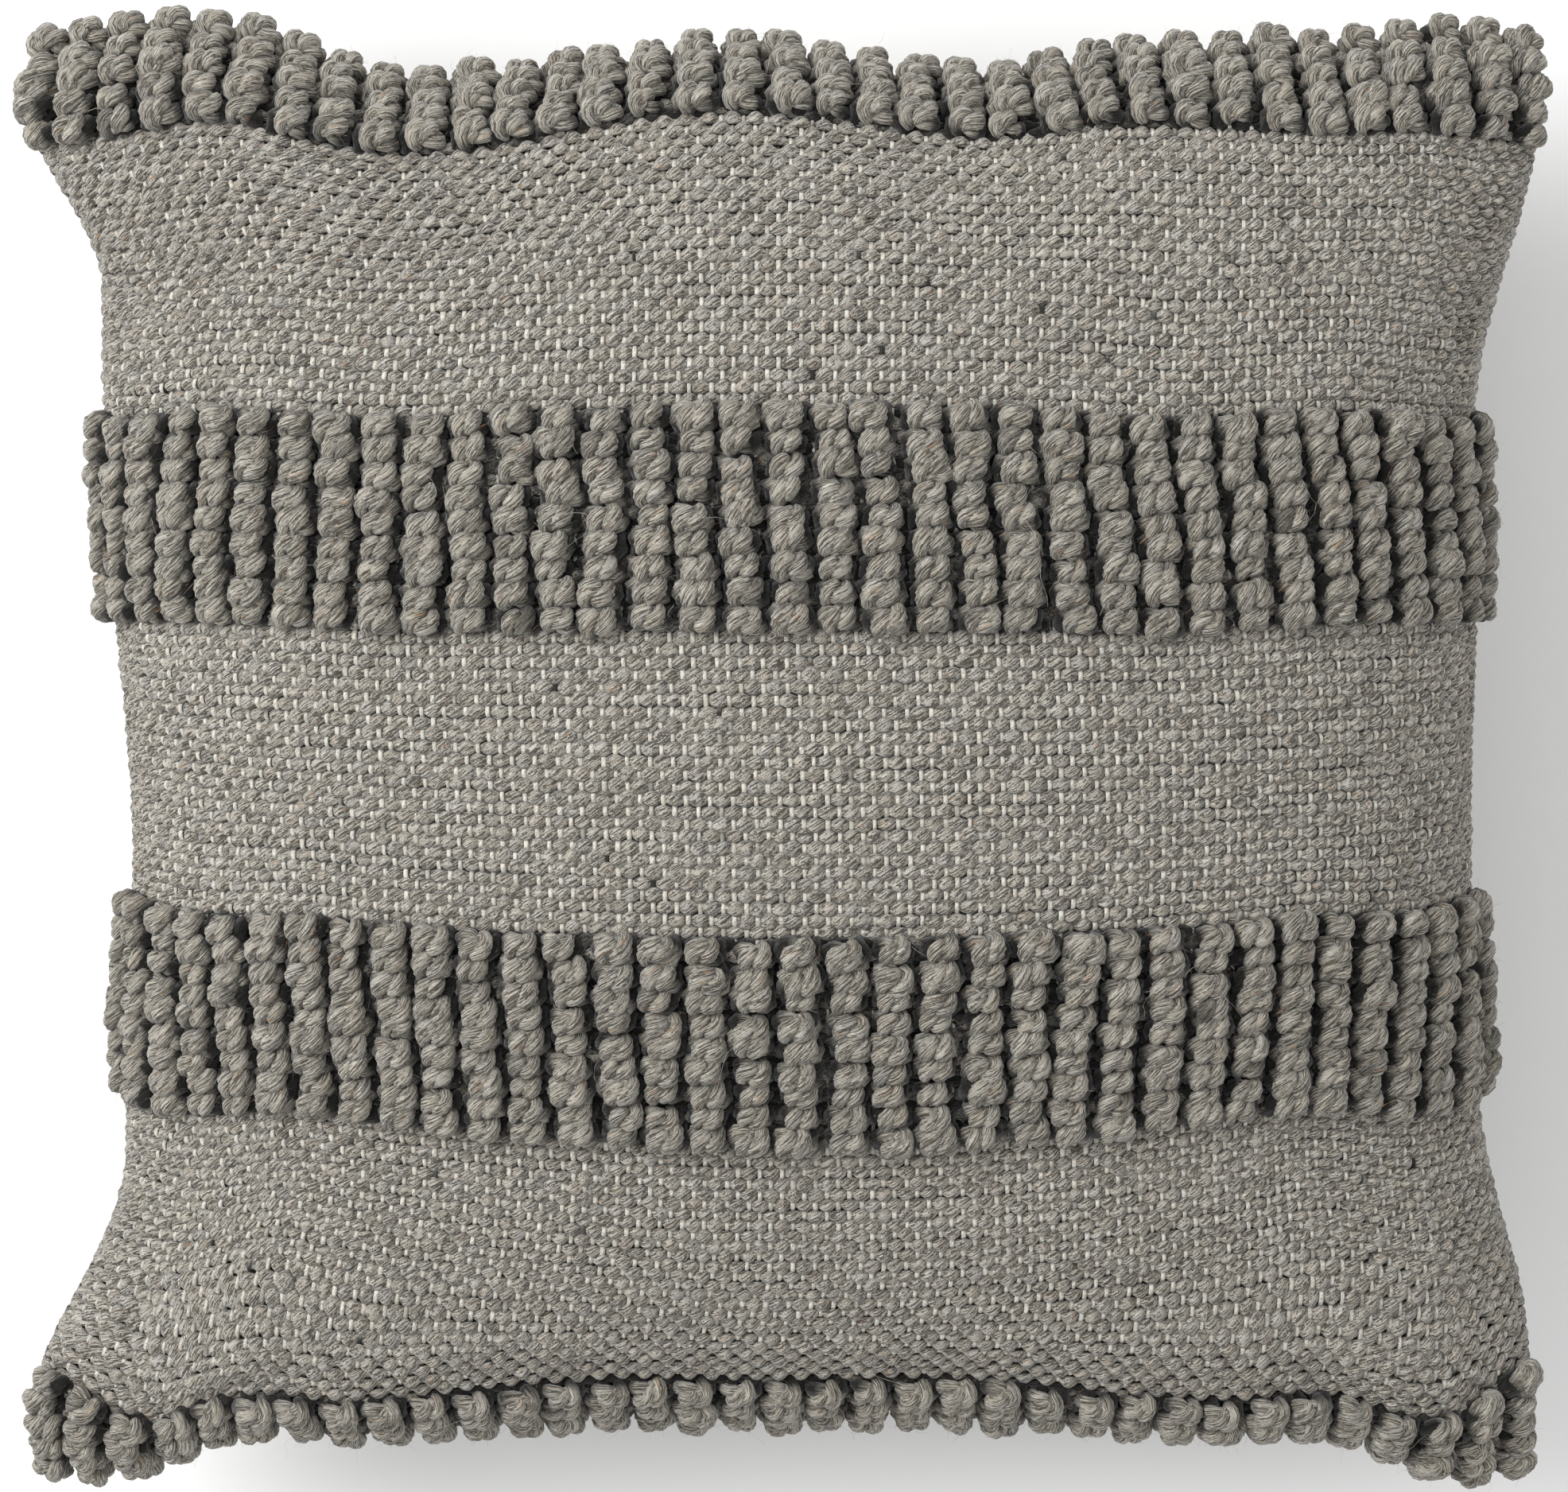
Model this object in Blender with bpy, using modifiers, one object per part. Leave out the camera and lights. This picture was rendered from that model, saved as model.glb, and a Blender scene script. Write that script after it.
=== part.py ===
"""Square throw pillow: a woven cover with looped bands, a zip in the bottom seam and a filled insert.

The pillow lies on its back panel.  +X is the pillow's right, +Y its top edge, +Z its front face.
Every soft piece is modelled about the seam plane, and an empty lifts that plane to its real height.
"""
import math
from collections import namedtuple

import bmesh
import bpy
import numpy as np

# ---------------------------------------------------------------- driving dimensions, metres
WAIST_X = 0.2125          # half width at the middle of the left and right seams
CORNER_X = 0.2380         # half width at the corners, before they are rounded
WAIST_TOP = 0.2125        # half height at the middle of the top seam
WAIST_BOTTOM = 0.2080     # half height at the zip
CORNER_Y = 0.2270         # half height at the corners, before they are rounded
DOME = 0.0915             # height of either face over its rim
REST_SHARE = 0.93         # share of the back's dome that is left after it flattens on a table
FULLNESS = 0.50           # exponent of the dome: 0.5 is an ellipse
EAR_ROUNDING = 0.045      # how much of a corner is rounded off
RIM = 0.0035              # half the height of the seam groove at its mouth

PANEL = 0.0030            # woven cloth
LOOP_HEIGHT = 0.0085      # looped pile over the cloth
SOFT_GAP = 0.0005         # between the cloth and the loops' roots

FLARE_SIDE = (0.45, 0.90)     # where along a seam the waist ends and the corner begins
FLARE_TOP = (0.55, 0.85)
FLARE_BOTTOM = (0.67, 0.92)

PICKS = (10, 25, 18, 25, 18, 25, 10)      # weft rows: bottom band, plain, band, plain, band, plain, top band
CELLS_PER_STRIPE = (1, 3, 2, 3, 2, 3, 1)  # grid cells across each of those stripes
CELLS_ACROSS = 18

ZIP_HALF = 0.152          # half length of the zip tapes
ZIP_LIFT = 0.0040         # the seam opens by this much either side over the zip
ZIP_OPEN_HALF = 0.172     # half the length over which it is fully open
ZIP_FADE = 0.025          # length over which it closes again
TEETH_GAP = 0.00055       # half the gap between the two rows of teeth
TEETH_WIDTH = 0.0024
TEETH_SPAN = (-0.0019, -0.0043)   # outward distance from the seam line: outer and inner face
TAPE_SPAN = (-0.0046, -0.0051)
TAPE_WIDTH = 0.0045
SLIDER_AT = 0.1380        # the slider's place when the zip is closed
SLIDER_HALF = 0.0045
CLOSED_END = 0.1444
OPEN_END = -0.1413
STOP_LENGTH = 0.0022
TOUCH_GAP = 0.0003

PULL_AXIS = 0.00045       # outward distance of the pull's hinge axis from the seam line
PULL_THICKNESS = 0.0010
PULL_LENGTH = 0.0240

PULL_HALF_WIDTH = 0.0026
PULL_CORNER = 0.00055
WINDOW_LENGTH = 0.0048    # the opening in the pull that the slider's bridge passes through
WINDOW_HALF_WIDTH = 0.0015
WINDOW_CORNER = 0.0003
HOLE_FROM_TIP = 0.0035    # the round hole near the pull's free end
HOLE_RADIUS = 0.0013

THREAD_RADIUS = 0.0004    # of the cover's seams
CASE_THREAD_RADIUS = 0.00035
SEAM_END = 0.985          # a seam thread stops at this cloth coordinate
THREAD_TO_ZIP = 0.003     # and this far from the zip's tapes

# ---------------------------------------------------------------- the pillow's surface
Layer = namedtuple("Layer", "inset rim height")     # a nested copy of the surface

COVER_OUT = Layer(0.0, RIM, DOME)
COVER_IN = Layer(0.0035, RIM - PANEL, DOME)
CASE_OUT = Layer(0.0090, 0.0012, DOME - 0.0015)
CASE_IN = Layer(0.0105, 0.0004, DOME - 0.0017)
FILL_OUT = Layer(0.0115, 0.0003, DOME - 0.0022)
LOOP_ROOT = Layer(-SOFT_GAP, RIM + SOFT_GAP, DOME)
LOOP_TIP = Layer(-LOOP_HEIGHT, RIM + SOFT_GAP, DOME + LOOP_HEIGHT)
COVER_SEAM = Layer(0.0020, 0.0, 0.0)
CASE_SEAM = Layer(0.0096, 0.0, 0.0)

REST_HEIGHT = RIM + REST_SHARE * DOME     # the seam plane over the table


def smoothstep(low, high, value):
    t = np.clip((value - low) / (high - low), 0.0, 1.0)
    return t * t * (3.0 - 2.0 * t)


def section_table(count=2001):
    """Distance along the domed middle section, from 0 to 1, against the share of the half width."""
    share = np.sin(np.linspace(0.0, math.pi / 2, count))
    height = DOME * np.maximum(1.0 - share**2, 0.0) ** FULLNESS
    steps = np.hypot(np.diff(share * WAIST_X), np.diff(height))
    distance = np.concatenate([[0.0], np.cumsum(steps)])
    return distance / distance[-1], share


SECTION_DISTANCE, SECTION_SHARE = section_table()


def domed(cloth):
    """Share of the half width reached at a cloth coordinate on the middle section."""
    return np.sign(cloth) * np.interp(abs(cloth), SECTION_DISTANCE, SECTION_SHARE)


def settled(cloth, across):
    """The same on any section: the nearer to a seam, the flatter the cloth."""
    bulge = (1.0 - domed(across) ** 2) ** (2 * FULLNESS)
    return cloth + (domed(cloth) - cloth) * bulge


def zip_opening(x, v):
    """How far the zip holds the rim away from the seam plane."""
    along = 1.0 - smoothstep(ZIP_OPEN_HALF, ZIP_OPEN_HALF + ZIP_FADE, abs(x))
    return ZIP_LIFT * along * ((1.0 - v) / 2.0) ** 12


def surface(layer, u, v):
    """Point of a layer's front half at cloth coordinates from -1 to 1, about the seam plane."""
    a, b = settled(u, v), settled(v, u)
    top, waist = (FLARE_TOP, WAIST_TOP) if v > 0 else (FLARE_BOTTOM, WAIST_BOTTOM)
    half_x = WAIST_X + (CORNER_X - WAIST_X) * smoothstep(*FLARE_SIDE, abs(b))
    half_y = waist + (CORNER_Y - waist) * smoothstep(*top, abs(a))
    rounding = 1.0 - EAR_ROUNDING * abs(a * b) ** 8
    shrink = 1.0 - layer.inset / WAIST_BOTTOM
    x, y = shrink * rounding * a * half_x, shrink * rounding * b * half_y
    crown = (max(1.0 - a * a, 0.0) * max(1.0 - b * b, 0.0)) ** FULLNESS
    return x, y, layer.rim + zip_opening(x, v), layer.height * crown


def front(layer, u, v):
    x, y, rim, crown = surface(layer, u, v)
    return x, y, rim + crown


def back(layer, u, v):
    x, y, rim, crown = surface(layer, u, v)
    return x, y, -rim - min(crown, REST_SHARE * layer.height)


def stripe_edges():
    """Cloth coordinates of the stripes' edges, bottom to top."""
    edges = np.cumsum((0,) + PICKS) / sum(PICKS)
    return [2.0 * e - 1.0 for e in edges]


def stripe_lines(first, last):
    """Cloth coordinates of the grid lines from stripe `first` to stripe `last`."""
    edges = stripe_edges()
    lines = [edges[first]]
    for i in range(first, last + 1):
        cells = CELLS_PER_STRIPE[i]
        lines += [edges[i] + (edges[i + 1] - edges[i]) * k / cells for k in range(1, cells + 1)]
    return lines


ACROSS = list(np.linspace(-1.0, 1.0, CELLS_ACROSS + 1))
FULL_HEIGHT = stripe_lines(0, len(PICKS) - 1)


# ---------------------------------------------------------------- Blender helpers
def clear_scene():
    for old in list(bpy.data.objects):
        bpy.data.objects.remove(old, do_unlink=True)


def new_collection(name):
    collection = bpy.data.collections.new(name)
    bpy.context.scene.collection.children.link(collection)
    return collection


def new_material(name, color, roughness, metallic=0.0):
    material = bpy.data.materials.new(name)
    material.use_nodes = True
    material.diffuse_color = (*color, 1.0)
    shader = material.node_tree.nodes["Principled BSDF"]
    shader.inputs["Base Color"].default_value = (*color, 1.0)
    shader.inputs["Roughness"].default_value = roughness
    shader.inputs["Metallic"].default_value = metallic
    return material


def place(data, name, material, parent, location=(0.0, 0.0, 0.0)):
    piece = bpy.data.objects.new(name, data)
    PARTS.objects.link(piece)
    data.materials.append(material)
    piece.parent = parent
    piece.location = location
    return piece


def face_outwards(mesh):
    bmesh.ops.recalc_face_normals(mesh, faces=mesh.faces[:])
    if mesh.calc_volume(signed=True) < 0:
        bmesh.ops.reverse_faces(mesh, faces=mesh.faces[:])


def cloth_solid(name, outer, inner, v_lines, material):
    """A flat grid with a second layer under it, shaped by one function for each layer."""
    columns, rows = len(ACROSS), len(v_lines)
    mesh = bmesh.new()
    bmesh.ops.create_grid(mesh, x_segments=columns - 1, y_segments=rows - 1, size=1.0)
    mesh.verts.ensure_lookup_table()
    cells = {}
    for vert in mesh.verts:
        column = round((vert.co.x + 1.0) / 2.0 * (columns - 1))
        row = round((vert.co.y + 1.0) / 2.0 * (rows - 1))
        cells[vert] = (ACROSS[column], v_lines[row])
    lower = bmesh.ops.extrude_face_region(mesh, geom=mesh.faces[:])["geom"]
    for vert in [item for item in lower if isinstance(item, bmesh.types.BMVert)]:
        column = round((vert.co.x + 1.0) / 2.0 * (columns - 1))
        row = round((vert.co.y + 1.0) / 2.0 * (rows - 1))
        vert.co = inner(ACROSS[column], v_lines[row])
    for vert, (u, v) in cells.items():
        vert.co = outer(u, v)
    face_outwards(mesh)
    bmesh.ops.triangulate(mesh, faces=mesh.faces[:], quad_method="SHORT_EDGE")
    data = bpy.data.meshes.new(name)
    mesh.to_mesh(data)
    mesh.free()
    data.shade_smooth()
    return place(data, name, material, SEAM_PLANE)


def thread(name, points, radius, material, closed=False):
    """A sewing thread as a thin round curve through its points."""
    curve = bpy.data.curves.new(name, "CURVE")
    curve.dimensions = "3D"
    curve.bevel_depth = radius
    curve.bevel_resolution = 1
    curve.use_fill_caps = not closed
    spline = curve.splines.new("POLY")
    spline.points.add(len(points) - 1)
    for slot, point in zip(spline.points, points):
        slot.co = (*point, 1.0)
    spline.use_cyclic_u = closed
    return place(curve, name, material, SEAM_PLANE)


def block(name, low, high, material, parent, bevel=0.0002):
    """A box between two corners, its edges slightly broken."""
    mesh = bmesh.new()
    bmesh.ops.create_cube(mesh, size=1.0)
    for vert in mesh.verts:
        vert.co = [(a + b) / 2 + c * (b - a) for a, b, c in zip(low, high, vert.co)]
    data = bpy.data.meshes.new(name)
    mesh.to_mesh(data)
    mesh.free()
    piece = place(data, name, material, parent)
    edge = piece.modifiers.new("broken edges", "BEVEL")
    edge.width = bevel
    edge.segments = 1
    return piece


def outline_plate(name, loops, half_thickness):
    """A flat 2D curve from one or more closed outlines, as a curve object."""
    curve = bpy.data.curves.new(name, "CURVE")
    curve.dimensions = "2D"
    curve.fill_mode = "BOTH"
    curve.extrude = half_thickness
    for loop in loops:
        spline = curve.splines.new("POLY")
        spline.points.add(len(loop) - 1)
        for slot, (x, y) in zip(spline.points, loop):
            slot.co = (x, y, 0.0, 1.0)
        spline.use_cyclic_u = True
    plate = bpy.data.objects.new(name, curve)
    bpy.context.scene.collection.objects.link(plate)
    return plate


def as_welded_mesh(curve_object, name, axes):
    """The curve's solid as a mesh whose local x, y, z are the given columns."""
    graph = bpy.context.evaluated_depsgraph_get()
    data = bpy.data.meshes.new_from_object(curve_object.evaluated_get(graph))
    data.name = name
    mesh = bmesh.new()
    mesh.from_mesh(data)
    bmesh.ops.remove_doubles(mesh, verts=mesh.verts[:], dist=0.00001)
    for vert in mesh.verts:
        x, y, z = vert.co
        vert.co = [x * axes[0][i] + y * axes[1][i] + z * axes[2][i] for i in range(3)]
    face_outwards(mesh)
    mesh.to_mesh(data)
    mesh.free()
    bpy.data.objects.remove(curve_object, do_unlink=True)
    return data


def rounded_rectangle(x0, x1, half_width, radius, steps=3):
    """Outline with round corners, from x0 to x1 and symmetric in y."""
    corners = [(x1, half_width, 0), (x0, half_width, 90), (x0, -half_width, 180), (x1, -half_width, 270)]
    points = []
    for x, y, start in corners:
        centre_x = x - radius if x == x1 else x + radius
        centre_y = y - radius if y > 0 else y + radius
        for k in range(steps + 1):
            angle = math.radians(start + 90.0 * k / steps)
            points.append((centre_x + radius * math.cos(angle), centre_y + radius * math.sin(angle)))
    return points


# ---------------------------------------------------------------- cover
def panels():
    cloth_solid("front_panel", lambda u, v: front(COVER_OUT, u, v),
                lambda u, v: front(COVER_IN, u, v), FULL_HEIGHT, WOOL_WEAVE)
    cloth_solid("back_panel", lambda u, v: back(COVER_OUT, u, v),
                lambda u, v: back(COVER_IN, u, v), FULL_HEIGHT, WOOL_WEAVE)


def loop_bands():
    stripes = {"bottom": 0, "lower": 2, "upper": 4, "top": 6}
    for name, stripe in stripes.items():
        cloth_solid(f"{name}_loop_band", lambda u, v: front(LOOP_TIP, u, v),
                    lambda u, v: front(LOOP_ROOT, u, v), stripe_lines(stripe, stripe), WOOL_LOOPS)


def seam_point(layer, u, v):
    x, y, _, _ = surface(layer, u, v)
    return x, y, 0.0


def seam_threads():
    side = [-SEAM_END] + FULL_HEIGHT[1:-1] + [SEAM_END]
    across = [-SEAM_END] + ACROSS[1:-1] + [SEAM_END]
    thread("left_seam_thread", [seam_point(COVER_SEAM, -1.0, v) for v in side], THREAD_RADIUS, COTTON)
    thread("right_seam_thread", [seam_point(COVER_SEAM, 1.0, v) for v in side], THREAD_RADIUS, COTTON)
    thread("top_seam_thread", [seam_point(COVER_SEAM, u, 1.0) for u in across], THREAD_RADIUS, COTTON)
    points = [seam_point(COVER_SEAM, u, -1.0) for u in across]
    beyond = ZIP_HALF + THREAD_TO_ZIP
    left = [p for p in points if p[0] < -beyond]
    right = [p for p in points if p[0] > beyond]
    depth = points[len(points) // 2][1]
    thread("bottom_seam_thread_left", left + [(-beyond, depth, 0.0)], THREAD_RADIUS, COTTON)
    thread("bottom_seam_thread_right", [(beyond, depth, 0.0)] + right, THREAD_RADIUS, COTTON)


# ---------------------------------------------------------------- insert
def insert():
    cloth_solid("insert_case_front", lambda u, v: front(CASE_OUT, u, v),
                lambda u, v: front(CASE_IN, u, v), FULL_HEIGHT, COTTON)
    cloth_solid("insert_case_back", lambda u, v: back(CASE_OUT, u, v),
                lambda u, v: back(CASE_IN, u, v), FULL_HEIGHT, COTTON)
    cloth_solid("insert_filling", lambda u, v: front(FILL_OUT, u, v),
                lambda u, v: back(FILL_OUT, u, v), FULL_HEIGHT, FIBRE)
    ring = [(u, -1.0) for u in ACROSS[:-1]] + [(1.0, v) for v in FULL_HEIGHT[:-1]]
    ring += [(u, 1.0) for u in ACROSS[:0:-1]] + [(-1.0, v) for v in FULL_HEIGHT[:0:-1]]
    points = [seam_point(CASE_SEAM, u, v) for u, v in ring]
    thread("insert_seam_thread", points, CASE_THREAD_RADIUS, COTTON, closed=True)


# ---------------------------------------------------------------- zip, about the seam line
def zip_strip(name, x_span, out_span, width, side, material, bevel=0.0001):
    """A straight piece of one half of the zip; side is 1 at the front and -1 at the back."""
    z = sorted((side * TEETH_GAP, side * (TEETH_GAP + width)))
    low = (x_span[0], -max(out_span), z[0])
    high = (x_span[1], -min(out_span), z[1])
    return block(name, low, high, material, ZIP_LINE, bevel)


def zip_track():
    teeth = (OPEN_END + TOUCH_GAP, CLOSED_END - TOUCH_GAP)
    for name, side in (("front", 1), ("back", -1)):
        zip_strip(f"zip_tape_{name}", (-ZIP_HALF, ZIP_HALF), TAPE_SPAN, TAPE_WIDTH, side, ZIP_TAPE)
        zip_strip(f"zip_teeth_{name}", teeth, TEETH_SPAN, TEETH_WIDTH, side, ZIP_PLASTIC, 0.0004)
        zip_strip(f"zip_top_stop_{name}", (CLOSED_END, CLOSED_END + STOP_LENGTH),
                  TEETH_SPAN, TEETH_WIDTH, side, ZIP_METAL)
    width = TEETH_GAP + TEETH_WIDTH
    block("zip_bottom_stop", (OPEN_END - STOP_LENGTH, -TEETH_SPAN[0], -width),
          (OPEN_END, -TEETH_SPAN[1], width), ZIP_METAL, ZIP_LINE)


def slider():
    """Two plates joined by a wedge that runs between the rows of teeth, with a bridge for the pull."""
    out, lip, clear = -0.0005, 0.0034, 0.0003
    half, post = 0.0040, 0.00025
    plate = 0.0008
    flange = half - plate
    under, floor = TEETH_SPAN[0] + clear, TAPE_SPAN[1] - clear
    bottom = floor - plate
    right = [(half, out), (half, -lip), (flange, -lip), (flange, under), (post, under),
             (post, floor), (half, floor), (half, bottom)]
    profile = right + [(-z, o) for z, o in reversed(right)]
    body = outline_plate("slider_profile", [profile], SLIDER_HALF)
    along_seam = ((0, 0, 1), (0, -1, 0), (1, 0, 0))
    data = as_welded_mesh(body, "zip_slider", along_seam)
    piece = place(data, "zip_slider", ZIP_METAL, SLIDER_ORIGIN)

    foot, leg, crown, soffit = 0.0031, 0.0021, 0.0022, 0.0014
    sunk, shoulder, half_depth = out - 0.0003, 0.0005, 0.0010
    arch = [(-foot, sunk), (-foot, crown - shoulder), (-foot + shoulder, crown), (foot - shoulder, crown),
            (foot, crown - shoulder), (foot, sunk), (leg, sunk), (leg, soffit),
            (-leg, soffit), (-leg, sunk)]
    bridge = outline_plate("bridge_profile", [arch], half_depth)
    upright = ((1, 0, 0), (0, -1, 0), (0, 0, 1))
    bridge_data = as_welded_mesh(bridge, "slider_bridge", upright)
    cutter = bpy.data.objects.new("slider_bridge", bridge_data)
    CUTTERS.objects.link(cutter)
    cutter.parent = SLIDER_ORIGIN
    cutter.hide_render = True
    cutter.display_type = "WIRE"
    join = piece.modifiers.new("bridge", "BOOLEAN")
    join.operation = "UNION"
    join.solver = "EXACT"
    join.object = cutter


def pull():
    """Flat tab with a window for the slider's bridge and a round hole near its end."""
    bar = PULL_THICKNESS / 2
    outline = rounded_rectangle(-PULL_LENGTH, bar, PULL_HALF_WIDTH, PULL_CORNER)
    window = rounded_rectangle(-WINDOW_LENGTH, -bar, WINDOW_HALF_WIDTH, WINDOW_CORNER)
    middle = HOLE_FROM_TIP - PULL_LENGTH
    hole = [(middle + HOLE_RADIUS * math.cos(a), HOLE_RADIUS * math.sin(a))
            for a in np.linspace(0.0, 2 * math.pi, 12, endpoint=False)]
    plate = outline_plate("pull_profile", [outline, window, hole], PULL_THICKNESS / 2)
    flat_on_zip = ((1, 0, 0), (0, 0, 1), (0, -1, 0))
    data = as_welded_mesh(plate, "zip_pull", flat_on_zip)
    place(data, "zip_pull", ZIP_METAL, PULL_ORIGIN)


def empty(name, parent=None, location=(0.0, 0.0, 0.0)):
    marker = bpy.data.objects.new(name, None)
    PARTS.objects.link(marker)
    marker.parent = parent
    marker.location = location
    return marker


# ---------------------------------------------------------------- the pillow
clear_scene()
PARTS = new_collection("throw_pillow")
CUTTERS = new_collection("cutters")

WOOL_WEAVE = new_material("wool_weave", (0.31, 0.29, 0.25), 0.95)
WOOL_LOOPS = new_material("wool_loops", (0.27, 0.26, 0.23), 0.95)
COTTON = new_material("cotton", (0.78, 0.76, 0.70), 0.85)
FIBRE = new_material("fibre", (0.90, 0.90, 0.88), 0.95)
ZIP_TAPE = new_material("zip_tape", (0.24, 0.23, 0.21), 0.85)
ZIP_PLASTIC = new_material("zip_plastic", (0.20, 0.19, 0.18), 0.45)
ZIP_METAL = new_material("zip_metal", (0.45, 0.45, 0.46), 0.35, 1.0)

SEAM_PLANE = empty("seam_plane", location=(0.0, 0.0, REST_HEIGHT))
ZIP_LINE = empty("zip_line", SEAM_PLANE, (0.0, -WAIST_BOTTOM, 0.0))
SLIDER_ORIGIN = empty("slider_origin", ZIP_LINE, (SLIDER_AT, 0.0, 0.0))
PULL_ORIGIN = empty("pull_origin", SLIDER_ORIGIN, (0.0, -PULL_AXIS, 0.0))

panels()
loop_bands()
seam_threads()
insert()
zip_track()
slider()
pull()
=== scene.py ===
import math

import bpy
import numpy as np
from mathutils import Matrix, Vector


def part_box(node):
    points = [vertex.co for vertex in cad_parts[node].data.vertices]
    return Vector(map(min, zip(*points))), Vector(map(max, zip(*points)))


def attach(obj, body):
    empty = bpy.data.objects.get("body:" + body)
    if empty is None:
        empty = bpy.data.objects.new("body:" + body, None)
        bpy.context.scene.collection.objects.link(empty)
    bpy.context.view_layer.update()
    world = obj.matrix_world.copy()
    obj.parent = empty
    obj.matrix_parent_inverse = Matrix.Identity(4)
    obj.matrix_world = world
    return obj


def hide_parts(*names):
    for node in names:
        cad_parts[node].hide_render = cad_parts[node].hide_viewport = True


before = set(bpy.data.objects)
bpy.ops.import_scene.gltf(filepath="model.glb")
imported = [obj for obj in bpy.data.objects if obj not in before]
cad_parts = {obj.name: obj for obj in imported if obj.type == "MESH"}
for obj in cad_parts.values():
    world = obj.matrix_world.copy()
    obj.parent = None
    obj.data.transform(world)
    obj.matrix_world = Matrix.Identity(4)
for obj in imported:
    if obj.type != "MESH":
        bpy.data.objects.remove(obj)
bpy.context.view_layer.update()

# ---- sizes from the frame, metres
PANEL_LOW, PANEL_HIGH = (np.array(corner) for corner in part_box("front_panel"))
BACK_LOW, BACK_HIGH = (np.array(corner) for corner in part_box("back_panel"))
TAPE_LOW, TAPE_HIGH = (np.array(corner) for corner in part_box("zip_tape_front"))
TEETH_LOW, TEETH_HIGH = (np.array(corner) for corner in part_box("zip_teeth_front"))

SEAM_Z = float(PANEL_LOW[2] + BACK_HIGH[2]) / 2
FRONT_HEIGHT = float(PANEL_HIGH[2]) - SEAM_Z
BACK_HEIGHT = SEAM_Z - float(BACK_LOW[2])
ZIP_HALF = float(TAPE_HIGH[0])
TAPE_INSET = 0.0046  # the zip's tape lies this far inside the seam line
SEAM_Y = float(TAPE_LOW[1]) - TAPE_INSET

# the pillow's outline, as half sizes
WAIST_X, WAIST_LEFT, CORNER_X = 0.2138, 0.2115, 0.2390
WAIST_TOP, WAIST_BOTTOM = 0.2125, -SEAM_Y
CORNER_TOP, CORNER_BOTTOM = 0.2270, 0.2302
EAR_ROUNDING_TOP, EAR_ROUNDING_BOTTOM, EAR_POWER = 0.036, 0.018, 8
# where each side flares towards its corners, as shares of the half size
FLARE_TOP_LEFT, FLARE_BOTTOM_LEFT, FLARE_RIGHT = (0.64, 0.93), (0.55, 0.91), (0.44, 0.98)
FLARE_TOP, FLARE_BOTTOM = (0.50, 0.85), (0.70, 0.93)
# the sides dip in near mid-height
DIP, DIP_PLACE, DIP_HALF, DIP_REACH = 0.0040, -0.10, 0.25, (0.2, 1.0)
# the filling has slumped to the right below the middle
LEAN, LEAN_RISES, LEAN_FADES = 0.0045, (0.60, -0.15), (-0.95, -0.70)
# the top seam waves, rises towards the right, and waves quicker there
TOP_WAVE, TOP_SLOPE, WAVE_PERIOD, WAVE_SHIFT = 0.0048, 0.0030, 0.66, 0.25
QUICKER, QUICKER_FROM = 0.22, 0.22
WAVE_FADES, WAVE_DEPTH = (0.75, 0.95), (0.55, 1.0)
# the front swells out over the zip, either side of its middle
LIP, LIP_RISES, LIP_FADES, LIP_REACH = 0.0165, (0.15, 0.72), (0.80, 1.0), 0.30
FULLNESS = 0.50  # the power of the crown's fall towards the seam
RIM = 0.0035
BACK_EDGE = 0.02  # the crown at which the back's edge has its full depth
YARN_DEPTH = 0.0018  # from the outside of the cloth to its middle
FLOOR_ROOM = 0.0026  # from the floor to the middle of the cloth that lies on it

# the weave, counted from the bottom seam to the top one
PICKS = (10, 25, 18, 25, 18, 25, 10)
WEFTS = sum(PICKS)
STARTS = np.concatenate([[0], np.cumsum(PICKS)])
WARPS = 140
HALF_CLOTH = 0.250  # flat half size of each panel
COLUMN_WARPS = 4
COLUMNS = WARPS // COLUMN_WARPS
PICKS_PER_LOOP_ROW = 2

GRID = 64  # cells across the simulated cloth
PLACES = np.meshgrid(*[np.linspace(-1.0, 1.0, GRID + 1)] * 2)  # the grid's cloth coordinates
BORDER = np.ones((GRID + 1, GRID + 1), bool)
BORDER[1:-1, 1:-1] = False


# ---- the pillow's form
def smoothstep(low, high, value):
    t = np.clip((value - low) / (high - low), 0.0, 1.0)
    return t * t * (3.0 - 2.0 * t)


def section_table(count=2001):
    """Distance along the domed middle section against the share of the half width."""
    share = np.sin(np.linspace(0.0, math.pi / 2, count))
    height = (FRONT_HEIGHT - RIM) * np.maximum(1.0 - share**2, 0.0) ** FULLNESS
    steps = np.hypot(np.diff(share * WAIST_X), np.diff(height))
    distance = np.concatenate([[0.0], np.cumsum(steps)])
    return distance / distance[-1], share


SECTION_DISTANCE, SECTION_SHARE = section_table()


def domed(cloth):
    return np.sign(cloth) * np.interp(np.abs(cloth), SECTION_DISTANCE, SECTION_SHARE)


def settled(cloth, across):
    bulge = (1.0 - domed(across) ** 2) ** (2 * FULLNESS)
    return cloth + (domed(cloth) - cloth) * bulge


def bell(value, place, half):
    return np.exp(-(((value - place) / half) ** 2))


def top_wave(a, v):
    """How far the top seam stands above its smooth line."""
    phase = a + WAVE_SHIFT + QUICKER * np.maximum(a - QUICKER_FROM, 0.0)
    wave = TOP_WAVE * np.sin(2 * math.pi * phase / WAVE_PERIOD) + TOP_SLOPE * a
    return wave * (1.0 - smoothstep(*WAVE_FADES, np.abs(a))) * smoothstep(*WAVE_DEPTH, v)


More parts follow.
